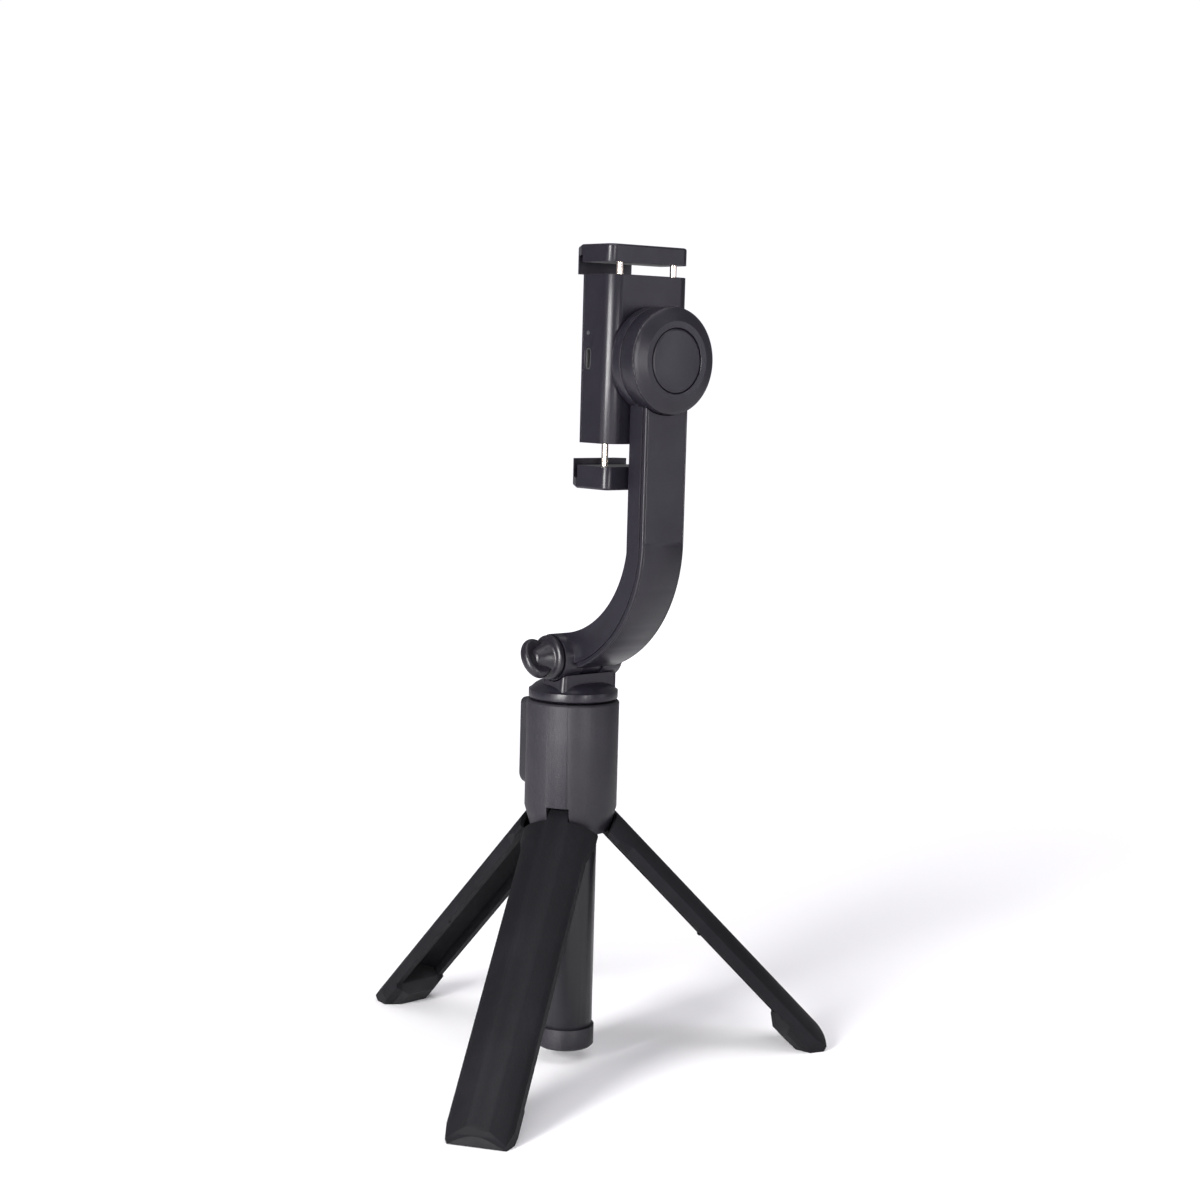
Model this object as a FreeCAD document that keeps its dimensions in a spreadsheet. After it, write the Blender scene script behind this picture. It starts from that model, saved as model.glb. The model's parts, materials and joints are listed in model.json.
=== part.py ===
import FreeCAD, Part

# Single-axis phone gimbal on an extending stick with three folding legs.
#
# Origin: on the ground, under the centre of the handle.  +Z is up, +Y is the side of the
# roll motor and +X is the side of the tilt knob and the charging socket.  Millimetres.
import math
import os

import Sketcher
from FreeCAD import Placement, Rotation, Vector

doc = FreeCAD.newDocument("phone_gimbal")

# --------------------------------------------------------------------------- driving sizes
DRIVING_SIZES = {
    # stand: handle, centre tube and legs
    "stand_turn": 4.0,            # degrees the stand is turned under the head
    "handle_radius": 17.25,
    "handle_top": 137.4,
    "handle_bottom": 88.5,
    "handle_taper": 9.0,          # height of the cone at the handle's foot
    "taper_inset": 2.65,
    "handle_wall": 3.25,
    "tube_radius": 10.1,
    "tube_wall": 0.7,
    "tube_bottom": 8.4,
    "cap_wall": 0.8,
    "cap_bottom": 5.4,
    "cap_height": 8.0,
    "pivot_offset": 2.5,          # from the centre tube's wall to the leg's pivot
    "leg_pivot_height": 93.0,
    "leg_spread": 44.0,           # degrees from the folded leg to the open stop
    "leg_head_half": 14.25,
    "leg_half": 12.2,
    "leg_tip_half": 10.7,
    "leg_wall": 2.0,
    "leg_depth": 9.0,
    "foot_depth": 13.2,
    "foot_length": 17.0,
    "leg_pin_radius": 1.0,
    "leg_lug_width": 8.0,
    # telescopic pole
    "pole_wall": 0.5,
    "pole_step": 1.0,             # radius lost from one section to the next
    "pole_bottom": 13.0,
    "pole_top": 137.7,
    "guide_length": 10.0,
    "neck_length": 3.0,
    "running_gap": 0.05,          # radial clearance of everything that slides or turns
    # swivel base and tilt hinge
    "dome_radius": 16.6,
    "dome_bottom": 138.1,
    "dome_rim": 3.2,
    "dome_height": 6.6,
    "hinge_y": 3.5,
    "hinge_z": 154.4,
    "barrel_radius": 8.6,
    "barrel_half": 13.5,
    "block_half_depth": 6.5,
    "block_top": 150.0,
    "tongue_half": 4.4,
    "washer_thickness": 0.3,
    "bolt_radius": 2.5,
    "knob_collar_radius": 8.2,
    "paddle_half": 7.7,
    "paddle_thickness": 4.2,
    "knob_turn": 32.0,            # degrees of the paddle from upright
    # arm
    "arm_half": 9.75,
    "arm_back": 47.8,
    "arm_thickness": 8.6,
    "arm_bend_radius": 51.0,
    "arm_bend_z": 199.5,
    "arm_foot_thickness": 14.0,
    "arm_cover_thickness": 2.0,
    "arm_wall": 1.8,
    # roll motor
    "motor_z": 263.3,
    "motor_radius": 18.8,
    "motor_wall": 1.4,
    "motor_rim": 49.9,            # Y of the rim, where the chamfer starts
    "motor_back": 52.2,
    "cap_disc_radius": 11.1,
    "rotor_gap": 0.6,
    "shaft_radius": 1.5,
    "bearing_radius": 3.5,
    "bearing_width": 2.4,
    "stator_radius": 13.8,
    "stator_length": 5.0,
    # clamp body
    "clamp_half": 18.3,
    "clamp_front": 21.5,
    "clamp_back": 38.0,
    "clamp_height": 59.0,
    "clamp_round": 5.0,
    "clamp_wall": 1.6,
    "clamp_plate": 1.4,
    "back_wall": 1.2,
    "pad_thickness": 0.8,
    "rod_radius": 1.2,
    "rod_x": 12.5,
    "upper_rod_y": 34.7,
    "lower_rod_y": 29.3,
    "spring_radius": 1.65,
    "spring_wire": 0.25,
    # jaws and the phone they hold
    "phone_width": 75.7,
    "phone_front": 12.6,
    "jaw_back": 37.0,
    "jaw_front": 8.6,
    "jaw_nose_half": 9.8,
    "jaw_lip_drop": 5.0,
    "jaw_thickness": 5.0,
    "jaw_pad": 1.4,
    "upper_gap": 4.2,
    "lower_gap": 8.0,
    # remote shutter
    "remote_half": 8.4,
    "remote_bottom": 103.2,
    "remote_top": 136.4,
    "remote_front": 20.5,
    "remote_back": 14.6,
    "remote_gap": 0.3,
    "shutter_radius": 4.8,
    "shutter_z": 126.0,
}


class Size:
    """A number of millimetres together with the sheet formula that gives it."""

    def __init__(self, value, formula):
        self.value = float(value)
        self.formula = formula

    def __add__(self, other):
        other = as_size(other)
        return Size(self.value + other.value, f"({self.formula} + {other.formula})")

    def __sub__(self, other):
        other = as_size(other)
        return Size(self.value - other.value, f"({self.formula} - {other.formula})")

    def __mul__(self, other):
        other = as_size(other)
        return Size(self.value * other.value, f"({self.formula} * {other.formula})")

    def __truediv__(self, other):
        other = as_size(other)
        return Size(self.value / other.value, f"({self.formula} / {other.formula})")

    def __radd__(self, other):
        return as_size(other) + self

    def __rsub__(self, other):
        return as_size(other) - self

    def __rmul__(self, other):
        return as_size(other) * self

    def __neg__(self):
        return Size(-self.value, f"(-1 * {self.formula})")


def root(size):
    """Square root of a Size."""
    return Size(math.sqrt(size.value), f"sqrt({size.formula})")


def as_size(number):
    """A Size, from a Size or a plain number."""
    if isinstance(number, Size):
        return number
    return Size(number, f"{number:g}" if number >= 0 else f"({number:g})")


def make_sheet():
    """Write the driving sizes to the document's spreadsheet and return them by name."""
    sheet = doc.addObject("Spreadsheet::Sheet", "Sizes")
    named = {}
    for row, (alias, number) in enumerate(DRIVING_SIZES.items(), start=1):
        sheet.set(f"A{row}", alias)
        sheet.set(f"B{row}", str(number))
        sheet.setAlias(f"B{row}", alias)
        named[alias] = Size(number, f"Sizes.{alias}")
    doc.recompute()
    return named


S = make_sheet()
SUBPARTS = []


# --------------------------------------------------------------------------- modelling tools
def bind(thing, prop, size):
    """Set a property and bind it to its sheet formula."""
    size = as_size(size)
    if not prop.startswith("Placement") and not prop.startswith("AttachmentOffset"):
        setattr(thing, prop, size.value)
    if "Sizes." in size.formula:
        thing.setExpression(prop, size.formula)


def place(thing, x=0, y=0, z=0):
    """Put an object at x, y, z, with the coordinates bound to the sheet."""
    sizes = [as_size(number) for number in (x, y, z)]
    placement = thing.Placement
    placement.Base = Vector(*[size.value for size in sizes])
    thing.Placement = placement
    for axis, size in zip("xyz", sizes):
        bind(thing, f"Placement.Base.{axis}", size)
    return thing


def subpart(thing, name):
    """Name an object as a finished sub-part."""
    thing.Label = name
    SUBPARTS.append(thing)
    return thing


def new_body(name):
    """A PartDesign body."""
    return doc.addObject("PartDesign::Body", name)


def origin_plane(body, role):
    """One of a body's own origin planes."""
    return next(item for item in body.Origin.OriginFeatures if item.Role == role)


def pin_vertex(sketch, geometry, end, u, v):
    """Fix one end of a line or arc at u, v."""
    for kind, axis, size in (("DistanceX", -2, as_size(u)), ("DistanceY", -1, as_size(v))):
        if abs(size.value) < 1e-9:
            sketch.addConstraint(Sketcher.Constraint("PointOnObject", geometry, end, axis))
            continue
        index = sketch.addConstraint(Sketcher.Constraint(kind, -1, 1, geometry, end, size.value))
        if "Sizes." in size.formula:
            sketch.setExpression(f"Constraints[{index}]", size.formula)


def arc_between(start, end, radius):
    """The short arc from start to end; its centre is on the left when radius is positive."""
    chord = end - start
    middle = (start + end) * 0.5
    left = Vector(-chord.y, chord.x, 0).normalize()
    rise = math.sqrt(max(radius * radius - chord.Length * chord.Length / 4, 0))
    centre = middle + left * (rise if radius > 0 else -rise)
    first, last = (start, end) if radius > 0 else (end, start)
    angles = [math.atan2(point.y - centre.y, point.x - centre.x) for point in (first, last)]
    circle = Part.Circle(centre, Vector(0, 0, 1), abs(radius))
    return Part.ArcOfCircle(circle, angles[0], angles[1])


def outline(body, plane, points, start=0):
    """A closed sketch through points (u, v) or (u, v, radius of the arc to the next point)."""
    sketch = body.newObject("Sketcher::SketchObject", body.Name + "_sketch")
    sketch.AttachmentSupport = [(origin_plane(body, plane), "")]
    sketch.MapMode = "FlatFace"
    offset = as_size(start)
    sketch.AttachmentOffset = Placement(Vector(0, 0, offset.value), Rotation())
    bind(sketch, "AttachmentOffset.Base.z", offset)
    corners = [Vector(as_size(p[0]).value, as_size(p[1]).value, 0) for p in points]
    ends = []
    for index, point in enumerate(points):
        here = corners[index]
        there = corners[(index + 1) % len(points)]
        radius = as_size(point[2]) if len(point) > 2 else None
        if radius is None:
            sketch.addGeometry(Part.LineSegment(here, there))
            ends.append((1, 2))
        else:
            sketch.addGeometry(arc_between(here, there, radius.value))
            ends.append((1, 2) if radius.value > 0 else (2, 1))
    for index in range(len(points)):
        following = (index + 1) % len(points)
        link = Sketcher.Constraint("Coincident", index, ends[index][1], following, ends[following][0])
        sketch.addConstraint(link)
        pin_vertex(sketch, index, ends[index][0], points[index][0], points[index][1])
        if len(points[index]) > 2:
            radius = as_size(points[index][2])
            size = radius if radius.value > 0 else -radius
            number = sketch.addConstraint(Sketcher.Constraint("Radius", index, size.value))
            if "Sizes." in size.formula:
                sketch.setExpression(f"Constraints[{number}]", size.formula)
    return sketch


def rectangle(u_low, v_low, u_high, v_high):
    """The corners of a rectangle, for outline()."""
    return [(u_low, v_low), (u_high, v_low), (u_high, v_high), (u_low, v_high)]


def extrude(body, kind, sketch, length, symmetric=False, reverse=False):
    """Pad or Pocket a sketch; a Pocket goes along the sketch's own normal."""
    feature = body.newObject(f"PartDesign::{kind}", f"{body.Name}_{kind.lower()}")
    feature.Profile = sketch
    bind(feature, "Length", length)
    if symmetric:
        feature.SideType = "Symmetric"
    feature.Reversed = (not reverse) if kind == "Pocket" and not symmetric else reverse
    body.Tip = feature
    doc.recompute()
    return feature


def pad(body, sketch, length, symmetric=False, reverse=False):
    """Add a prism along the sketch's normal."""
    return extrude(body, "Pad", sketch, length, symmetric, reverse)


def pocket(body, sketch, length, symmetric=False, reverse=False):
    """Cut a prism along the sketch's normal, and make sure that it cuts."""
    before = body.Shape.Volume
    feature = extrude(body, "Pocket", sketch, length, symmetric, reverse)
    if body.Shape.Volume > before - 1e-3:
        raise ValueError(f"{body.Name}: a pocket cuts nothing")
    return feature


def revolve(body, kind, sketch, axis, angle=360.0):
    """Revolution or Groove of a sketch about its V_Axis or H_Axis."""
    feature = body.newObject(f"PartDesign::{kind}", f"{body.Name}_{kind.lower()}")
    feature.Profile = sketch
    feature.ReferenceAxis = (sketch, [axis])
    feature.Angle = angle
    body.Tip = feature
    doc.recompute()
    return feature


def turned(name, plane, axis, points):
    """A body turned on a lathe: its outline spun about an axis of the plane."""
    body = new_body(name)
    revolve(body, "Revolution", outline(body, plane, points), axis)
    return body


def ring(name, inner, outer, low, high):
    """A plain tube about Z."""
    return turned(name, "XZ_Plane", "V_Axis", rectangle(inner, low, outer, high))


def edges_where(shape, test):
    """Names of the edges whose middle point and direction pass a test."""
    names = []
    for number, edge in enumerate(shape.Edges, start=1):
        middle = edge.valueAt((edge.FirstParameter + edge.LastParameter) / 2)
        if test(edge, middle):
            names.append(f"Edge{number}")
    return names


def round_edges(body, radius, test, kind="Fillet"):
    """Fillet or chamfer the tip's edges that pass a test."""
    base = body.Tip
    names = edges_where(base.Shape, test)
    if not names:
        raise ValueError(f"{body.Name}: no edge to round")
    feature = body.newObject(f"PartDesign::{kind}", f"{body.Name}_{kind.lower()}")
    feature.Base = (base, names)
    bind(feature, "Radius" if kind == "Fillet" else "Size", radius)
    body.Tip = feature
    doc.recompute()
    return feature


def along(axis):
    """An edge test: straight and parallel to an axis."""

    def test(edge, middle):
        if edge.Curve.TypeId != "Part::GeomLine":
            return False
        return abs(edge.tangentAt(edge.FirstParameter).dot(axis)) > 0.999

    return test


X_AXIS = Vector(1, 0, 0)
Y_AXIS = Vector(0, 1, 0)
Z_AXIS = Vector(0, 0, 1)
TO_Y = Rotation(X_AXIS, -90)      # turns Z to Y
TO_X = Rotation(Y_AXIS, 90)       # turns Z to X


def box(low, high):
    """A Part::Box between two corners."""
    low = [as_size(number) for number in low]
    high = [as_size(number) for number in high]
    solid = doc.addObject("Part::Box", "box")
    for prop, a, b in zip(("Length", "Width", "Height"), low, high):
        bind(solid, prop, b - a)
    return place(solid, *low)


def cylinder(radius, height, at, turn=Rotation()):
    """A Part::Cylinder standing at a point, turned from Z."""
    solid = doc.addObject("Part::Cylinder", "cylinder")
    bind(solid, "Radius", radius)
    bind(solid, "Height", height)
    solid.Placement = Placement(Vector(), turn)
    return place(solid, *at)


def fuse(parts):
    """One solid from several."""
    joined = doc.addObject("Part::MultiFuse", "fuse")
    joined.Shapes = parts
    joined.Refine = True
    return joined


def common(first, second):
    """What two solids share."""
    shared = doc.addObject("Part::MultiCommon", "common")
    shared.Shapes = [first, second]
    return shared


def cut(base, tools):
    """A solid less one or more others."""
    result = doc.addObject("Part::Cut", "cut")
    result.Base = base
    result.Tool = tools[0] if len(tools) == 1 else fuse(tools)
    result.Refine = True
    return result


def group(parts):
    """Separate identical pieces kept as one sub-part."""
    compound = doc.addObject("Part::Compound", "group")
    compound.Links = parts
    return compound


def turn_about(thing, centre, axis, degrees):
    """Turn an object about a fixed line, which takes over its place from the sheet."""
    for letter in "xyz":
        thing.setExpression(f"Placement.Base.{letter}", None)
    spin = Placement(Vector(), Rotation(axis, degrees), centre)
    thing.Placement = spin.multiply(thing.Placement)
    return thing


def turn_stand(thing):
    """Turn a piece of the stand by the stand's angle under the head."""
    return turn_about(thing, Vector(), Z_AXIS, S["stand_turn"].value)


# --------------------------------------------------------------------------- handle
LEG_AZIMUTHS = (60, 180, 300)     # clockwise from +Y, before the stand's turn
FIT = 0.3                         # air between faces that only pass each other
PIVOT_RADIUS = S["tube_radius"] + S["pivot_offset"]
CAP_RADIUS = S["tube_radius"] + S["cap_wall"]
TAPER_TOP = S["handle_bottom"] + S["handle_taper"]
TAPER_RADIUS = S["handle_radius"] - S["taper_inset"]
HOLLOW_INNER = S["tube_radius"] + 1.8
HOLLOW_OUTER = S["handle_radius"] - S["handle_wall"]
TOP_RING_HEIGHT = 2.5
TAB_REACH = S["handle_radius"] - PIVOT_RADIUS
TAB_TOP = 3.2                     # the leg's tab above its pivot
PIN_HALF = S["leg_lug_width"] / 2 + 3.6
NOTCH_TOP = S["leg_pivot_height"] + 6.1


def make_handle_shell():
    """Handle with the cone at its foot, the hollow wall, the leg notches and the dock."""
    body = new_body("handle")
    lip = 0.6
    profile = [
        (S["tube_radius"], S["handle_bottom"]),
        (TAPER_RADIUS, S["handle_bottom"]),
        (S["handle_radius"], TAPER_TOP),
        (S["handle_radius"], S["handle_top"] - lip),
        (S["handle_radius"] - lip, S["handle_top"]),
        (S["tube_radius"], S["handle_top"]),
    ]
    revolve(body, "Revolution", outline(body, "XZ_Plane", profile), "V_Axis")
    hollow = rectangle(HOLLOW_INNER, NOTCH_TOP + 3, HOLLOW_OUTER, S["handle_top"] + 1)
    revolve(body, "Groove", outline(body, "XZ_Plane", hollow), "V_Axis")
    gap = S["remote_gap"]
    half = S["remote_half"] + gap
    dock = rectangle(-half, S["remote_bottom"] - gap, half, S["remote_top"] + gap)
    floor = S["remote_back"] - gap
    pocket(body, outline(body, "XZ_Plane", dock, floor), S["handle_radius"], reverse=False)
    return subpart(turn_stand(cut(body, leg_notches())), "handle_shell")


def leg_notches():
    """What the three leg hinges take out of the handle: a slot and a pin hole each."""
    tools = []
    half = S["leg_lug_width"] / 2 + FIT
    for azimuth in LEG_AZIMUTHS:
        low = (-half, S["tube_radius"] - 0.5, S["handle_bottom"] - 1)
        notch = box(low, (half, S["handle_radius"] + 1, NOTCH_TOP))
        tools.append(turn_about(notch, Vector(), Z_AXIS, -azimuth))
        tools.append(turn_about(leg_pin(), Vector(), Z_AXIS, -azimuth))
    return tools


def leg_pin():
    """One leg's hinge pin, across +Y."""
    start = (-PIN_HALF, PIVOT_RADIUS, S["leg_pivot_height"])
    return cylinder(S["leg_pin_radius"], PIN_HALF * 2, start, TO_X)


def make_leg_pins():
    """The three steel pins that the legs fold on."""
    pins = [turn_about(leg_pin(), Vector(), Z_AXIS, -azimuth) for azimuth in LEG_AZIMUTHS]
    subpart(turn_stand(group(pins)), "leg_hinge_pins")


def make_handle_ring():
    """The ring that closes the hollow wall of the handle at the top."""
    low = S["handle_top"] - TOP_RING_HEIGHT
    subpart(ring("handle_top_ring", HOLLOW_INNER, HOLLOW_OUTER, low, S["handle_top"]), "handle_top_ring")


def make_centre_tube():
    """The fixed outer tube, necked in at the top round the first pole section."""
    inner = S["tube_radius"] - S["tube_wall"]
    neck = pole_radius(0) + S["running_gap"]
    profile = [
        (inner, S["tube_bottom"]),
        (S["tube_radius"], S["tube_bottom"]),
        (S["tube_radius"], S["handle_top"]),
        (neck, S["handle_top"]),
        (neck, S["handle_top"] - S["neck_length"]),
        (inner, S["handle_top"] - S["neck_length"]),
    ]
    subpart(turned("outer_tube", "XZ_Plane", "V_Axis", profile), "outer_tube")


def make_end_cap():
    """The cup on the tube's lower end, with a plug inside the tube."""
    top = S["cap_bottom"] + S["cap_height"]
    inner = S["tube_radius"] - S["tube_wall"]
    edge = 0.8
    profile = [
        (0, S["cap_bottom"]),
        (CAP_RADIUS - edge, S["cap_bottom"]),
        (CAP_RADIUS, S["cap_bottom"] + edge),
        (CAP_RADIUS, top),
        (S["tube_radius"], top),
        (S["tube_radius"], S["tube_bottom"]),
        (inner, S["tube_bottom"]),
        (inner, S["pole_bottom"] - FIT),
        (0, S["pole_bottom"] - FIT),
    ]
    subpart(turned("tube_end_cap", "XZ_Plane", "V_Axis", profile), "tube_end_cap")


# --------------------------------------------------------------------------- telescopic pole
POLE_COUNT = 4


def pole_radius(index):
    """Outer radius of a pole section, the outermost first."""
    return S["tube_radius"] - S["tube_wall"] - S["pole_wall"] - S["pole_step"] * index


def make_pole(index):
    """One pole section and the guide bush on its lower end."""
    outer = pole_radius(index)
    inner = outer - S["pole_wall"]
    top = S["pole_top"]
    profile = [(inner, S["pole_bottom"]), (outer, S["pole_bottom"]), (outer, top)]
    if index + 1 < POLE_COUNT:
        neck = pole_radius(index + 1) + S["running_gap"]
        profile += [(neck, top), (neck, top - S["neck_length"]), (inner, top - S["neck_length"])]
    else:
        profile.append((inner, top))
    name = f"pole_{index + 1}"
    subpart(turned(name, "XZ_Plane", "V_Axis", profile), name)
    around = (pole_radius(index - 1) if index else S["tube_radius"] - S["tube_wall"] + S["pole_wall"])
    reach = around - S["pole_wall"] - S["running_gap"]
    name = f"pole_guide_{index + 1}"
    high = S["pole_bottom"] + S["guide_length"]
    subpart(ring(name, outer, reach, S["pole_bottom"], high), name)


# --------------------------------------------------------------------------- legs
# A leg is modelled hanging folded from its pivot at the origin, with +Y outwards.
SECTOR = math.tan(math.radians(60))
HEAD_TOP = 2.0
HEAD_LENGTH = 7.5
KNEE = 7.0                        # length of the rounded end
SIDE_WALL = 1.4
STEP_RUN = 2.6                    # length of the slope from the thin leg to the deep foot
TIP_INSET = 6.1                   # how far the outer face curves in at the tip
AXIS_Y = -PIVOT_RADIUS   # the handle's axis, seen from the pivot
TIP = TAB_REACH - TIP_INSET       # the tip's distance from the pivot's plane, outwards
SPREAD = math.radians(S["leg_spread"].value)
SOLE_RUN = (S["foot_depth"] - TIP_INSET) * math.tan(SPREAD)     # lies level on the open leg
LEG_LENGTH = (S["leg_pivot_height"] + TIP * math.sin(SPREAD)) / math.cos(SPREAD)


def on_cylinder(radius, half):
    """Y of the handle-centred cylinder at a distance half from the leg's middle."""
    return root(radius * radius - half * half) + AXIS_Y


def leg_block(name):
    """The leg's outer form, filled."""
    body = new_body(name)
    length = LEG_LENGTH
    half = S["leg_head_half"]
    flat = TAB_REACH - S["foot_depth"]
    apex = AXIS_Y + FIT
    crown = on_cylinder(S["handle_radius"], half)
    base = (flat - apex) * SECTOR
    section = [
        (-base, flat),
        (base, flat),
        (half, half / SECTOR + apex),
        (half, crown, S["handle_radius"]),
        (-half, crown),
        (-half, half / SECTOR + apex),
    ]
    pad(body, outline(body, "XY_Plane", section, -length), length - HEAD_TOP)
    for points in (inner_cut(flat), sole_cut(flat), knee_cut()):
        pocket(body, outline(body, "YZ_Plane", points), half * 4, symmetric=True)
    for side in (-1, 1):
        pocket(body, outline(body, "XZ_Plane", flank_cut(side)), 80, symmetric=True)
    return body


def inner_cut(flat):
    """Side view of what is cut away inside the leg, above the foot."""
    step = S["foot_length"] - LEG_LENGTH
    edge = TAB_REACH - S["leg_depth"]
    foot = step - STEP_RUN
    return [(flat - 1, 1), (edge, 1), (edge, step), (flat, foot), (flat - 1, foot)]


def sole_cut(flat):
    """Side view of what is cut away under the sole."""
    length = LEG_LENGTH
    heel = SOLE_RUN - length
    return [(flat, heel), (TIP, -length), (TIP, -length - 1), (flat - 1, -length - 1), (flat - 1, heel)]


def knee_cut():
    """Side view of the rounded end, an arc that leaves the outer face smoothly."""
    length = LEG_LENGTH
    inset = TAB_REACH - TIP
    radius = (inset * inset + KNEE ** 2) / (inset * 2)
    return [
        (TIP, -length, radius),
        (TAB_REACH, KNEE - length),
        (TAB_REACH + 1, KNEE - length),
        (TAB_REACH + 1, -length - 1),
        (TIP, -length - 1),
    ]


def flank_cut(side):
    """Front view of what one flank loses from the wide head down to the tip."""
    length = LEG_LENGTH
    half = S["leg_half"] * side
    out = (S["leg_head_half"] + 2) * side
    return [
        (S["leg_head_half"] * side, -HEAD_LENGTH),
        (half, -HEAD_LENGTH - 6),
        (half, SOLE_RUN - length),
        (S["leg_tip_half"] * side, -length),
        (S["leg_tip_half"] * side, -length - 1),
        (out, -length - 1),
        (out, -HEAD_LENGTH),
    ]


def leg_channel(name, top, bottom):
    """The hollow inside the leg between two heights."""
    body = new_body(name)
    half = S["leg_tip_half"] - SIDE_WALL
    inner = S["handle_radius"] - S["leg_wall"]
    low = TAB_REACH - S["foot_depth"] - 1
    crown = on_cylinder(inner, half)
    section = [(-half, low), (half, low), (half, crown, inner), (-half, crown)]
    pad(body, outline(body, "XY_Plane", section, bottom), top - bottom)
    return body


def leg_tab():
    """The hinge tab that stands in the handle's notch."""
    body = new_body("leg_tab")
    lug = PIVOT_RADIUS - S["tube_radius"] - FIT
    lower = -HEAD_TOP - 3
    side = [
        (0.4, lower),
        (TAB_REACH, lower),
        (TAB_REACH, TAB_TOP - 0.8),
        (TAB_REACH - 0.8, TAB_TOP),
        (1.4, TAB_TOP),
        (-lug * math.cos(math.radians(30)), lug * 0.5, lug),
        (-lug * math.cos(math.radians(60)), -lug * math.sin(math.radians(60))),
    ]
    pad(body, outline(body, "YZ_Plane", side), S["leg_lug_width"], symmetric=True)
    height = TAB_TOP - lower + 2
    handle = cylinder(S["handle_radius"], height, (0, AXIS_Y, lower - 1))
    return common(body, handle)


def handle_clearance(degrees):
    """The handle's cone, tube and end cap with their air, seen from a leg turned open."""
    drop = S["handle_bottom"] - S["leg_pivot_height"] - FIT
    cone = doc.addObject("Part::Cone", "cone")
    bind(cone, "Radius1", TAPER_RADIUS + FIT)
    bind(cone, "Radius2", S["handle_radius"] + FIT)
    bind(cone, "Height", S["handle_taper"] + FIT)
    place(cone, 0, AXIS_Y, drop)
    reach = S["cap_bottom"] - S["leg_pivot_height"] - FIT
    tube = cylinder(S["tube_radius"] + FIT, 20 - reach, (0, AXIS_Y, reach))
    cap = cylinder(CAP_RADIUS + FIT, S["cap_height"] + FIT * 2, (0, AXIS_Y, reach))
    return [turn_about(solid, Vector(), X_AXIS, -degrees) for solid in (cone, tube, cap)]


def make_leg(number, azimuth):
    """One folding leg: plastic shell and rubber foot."""
    open_angle = S["leg_spread"].value
    angles = [open_angle * step / 3 for step in range(4)]
    air = [solid for angle in angles for solid in handle_clearance(angle)]
    hole = cylinder(S["leg_pin_radius"] + S["running_gap"], S["leg_lug_width"] + 2,
                    (S["leg_lug_width"] / -2 - 1, 0, 0), TO_X)
    channel = leg_channel(f"channel_{number}", as_size(-9), -LEG_LENGTH - 1)
    shell = cut(leg_block(f"leg_block_{number}"), [channel] + air)
    shell = cut(fuse([shell, leg_tab()]), [hole])
    plug = leg_channel(f"plug_{number}", S["foot_length"] - LEG_LENGTH, -LEG_LENGTH - 1)
    foot = common(leg_block(f"foot_block_{number}"), plug)
    for thing, name in ((shell, f"leg_{number}"), (foot, f"foot_pad_{number}")):
        turn_about(thing, Vector(), X_AXIS, open_angle)
        pivot = Vector(0, PIVOT_RADIUS.value, S["leg_pivot_height"].value)
        thing.Placement = Placement(pivot, Rotation()).multiply(thing.Placement)
        turn_about(thing, Vector(), Z_AXIS, -azimuth)
        subpart(turn_stand(thing), name)


# --------------------------------------------------------------------------- swivel base
SCREW_HEAD_RADIUS = 3.2
SCREW_HEAD_HEIGHT = 2.2
POST_RADIUS = 3.6
POST_TOP = S["dome_bottom"] + 3.4
DOME_ARC = 8                      # radius of the dome's rounded shoulder


def make_swivel_plug():
    """The plug in the top pole section, with the post that the base turns on."""
    inner = pole_radius(POLE_COUNT - 1) - S["pole_wall"]
    outer = pole_radius(POLE_COUNT - 1)
    low = S["pole_top"] - 14
    profile = [
        (1.3, low),
        (inner, low),
        (inner, S["pole_top"]),
        (outer, S["pole_top"]),
        (outer, S["dome_bottom"] + 1.0),
        (POST_RADIUS, S["dome_bottom"] + 1.0),
        (POST_RADIUS, POST_TOP),
        (1.3, POST_TOP),
    ]
    subpart(turned("swivel_plug", "XZ_Plane", "V_Axis", profile), "swivel_plug")


def make_swivel_screw():
    """The screw that holds the base on the post, with a cross slot in its head."""
    head_low = POST_TOP
    profile = [
        (0, S["pole_top"] - 12),
        (1.3, S["pole_top"] - 12),
        (1.3, head_low),
        (SCREW_HEAD_RADIUS + 1.0, head_low),
        (SCREW_HEAD_RADIUS + 1.0, head_low + 0.5),
        (SCREW_HEAD_RADIUS, head_low + 0.5),
        (SCREW_HEAD_RADIUS, head_low + SCREW_HEAD_HEIGHT),
        (0, head_low + SCREW_HEAD_HEIGHT),
    ]
    body = turned("swivel_screw", "XZ_Plane", "V_Axis", profile)
    slot = rectangle(-2.4, -0.3, 2.4, 0.3)
    top = head_low + SCREW_HEAD_HEIGHT - 1
    pocket(body, outline(body, "XY_Plane", slot, top), 3, reverse=False)
    subpart(body, "swivel_screw")


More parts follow.
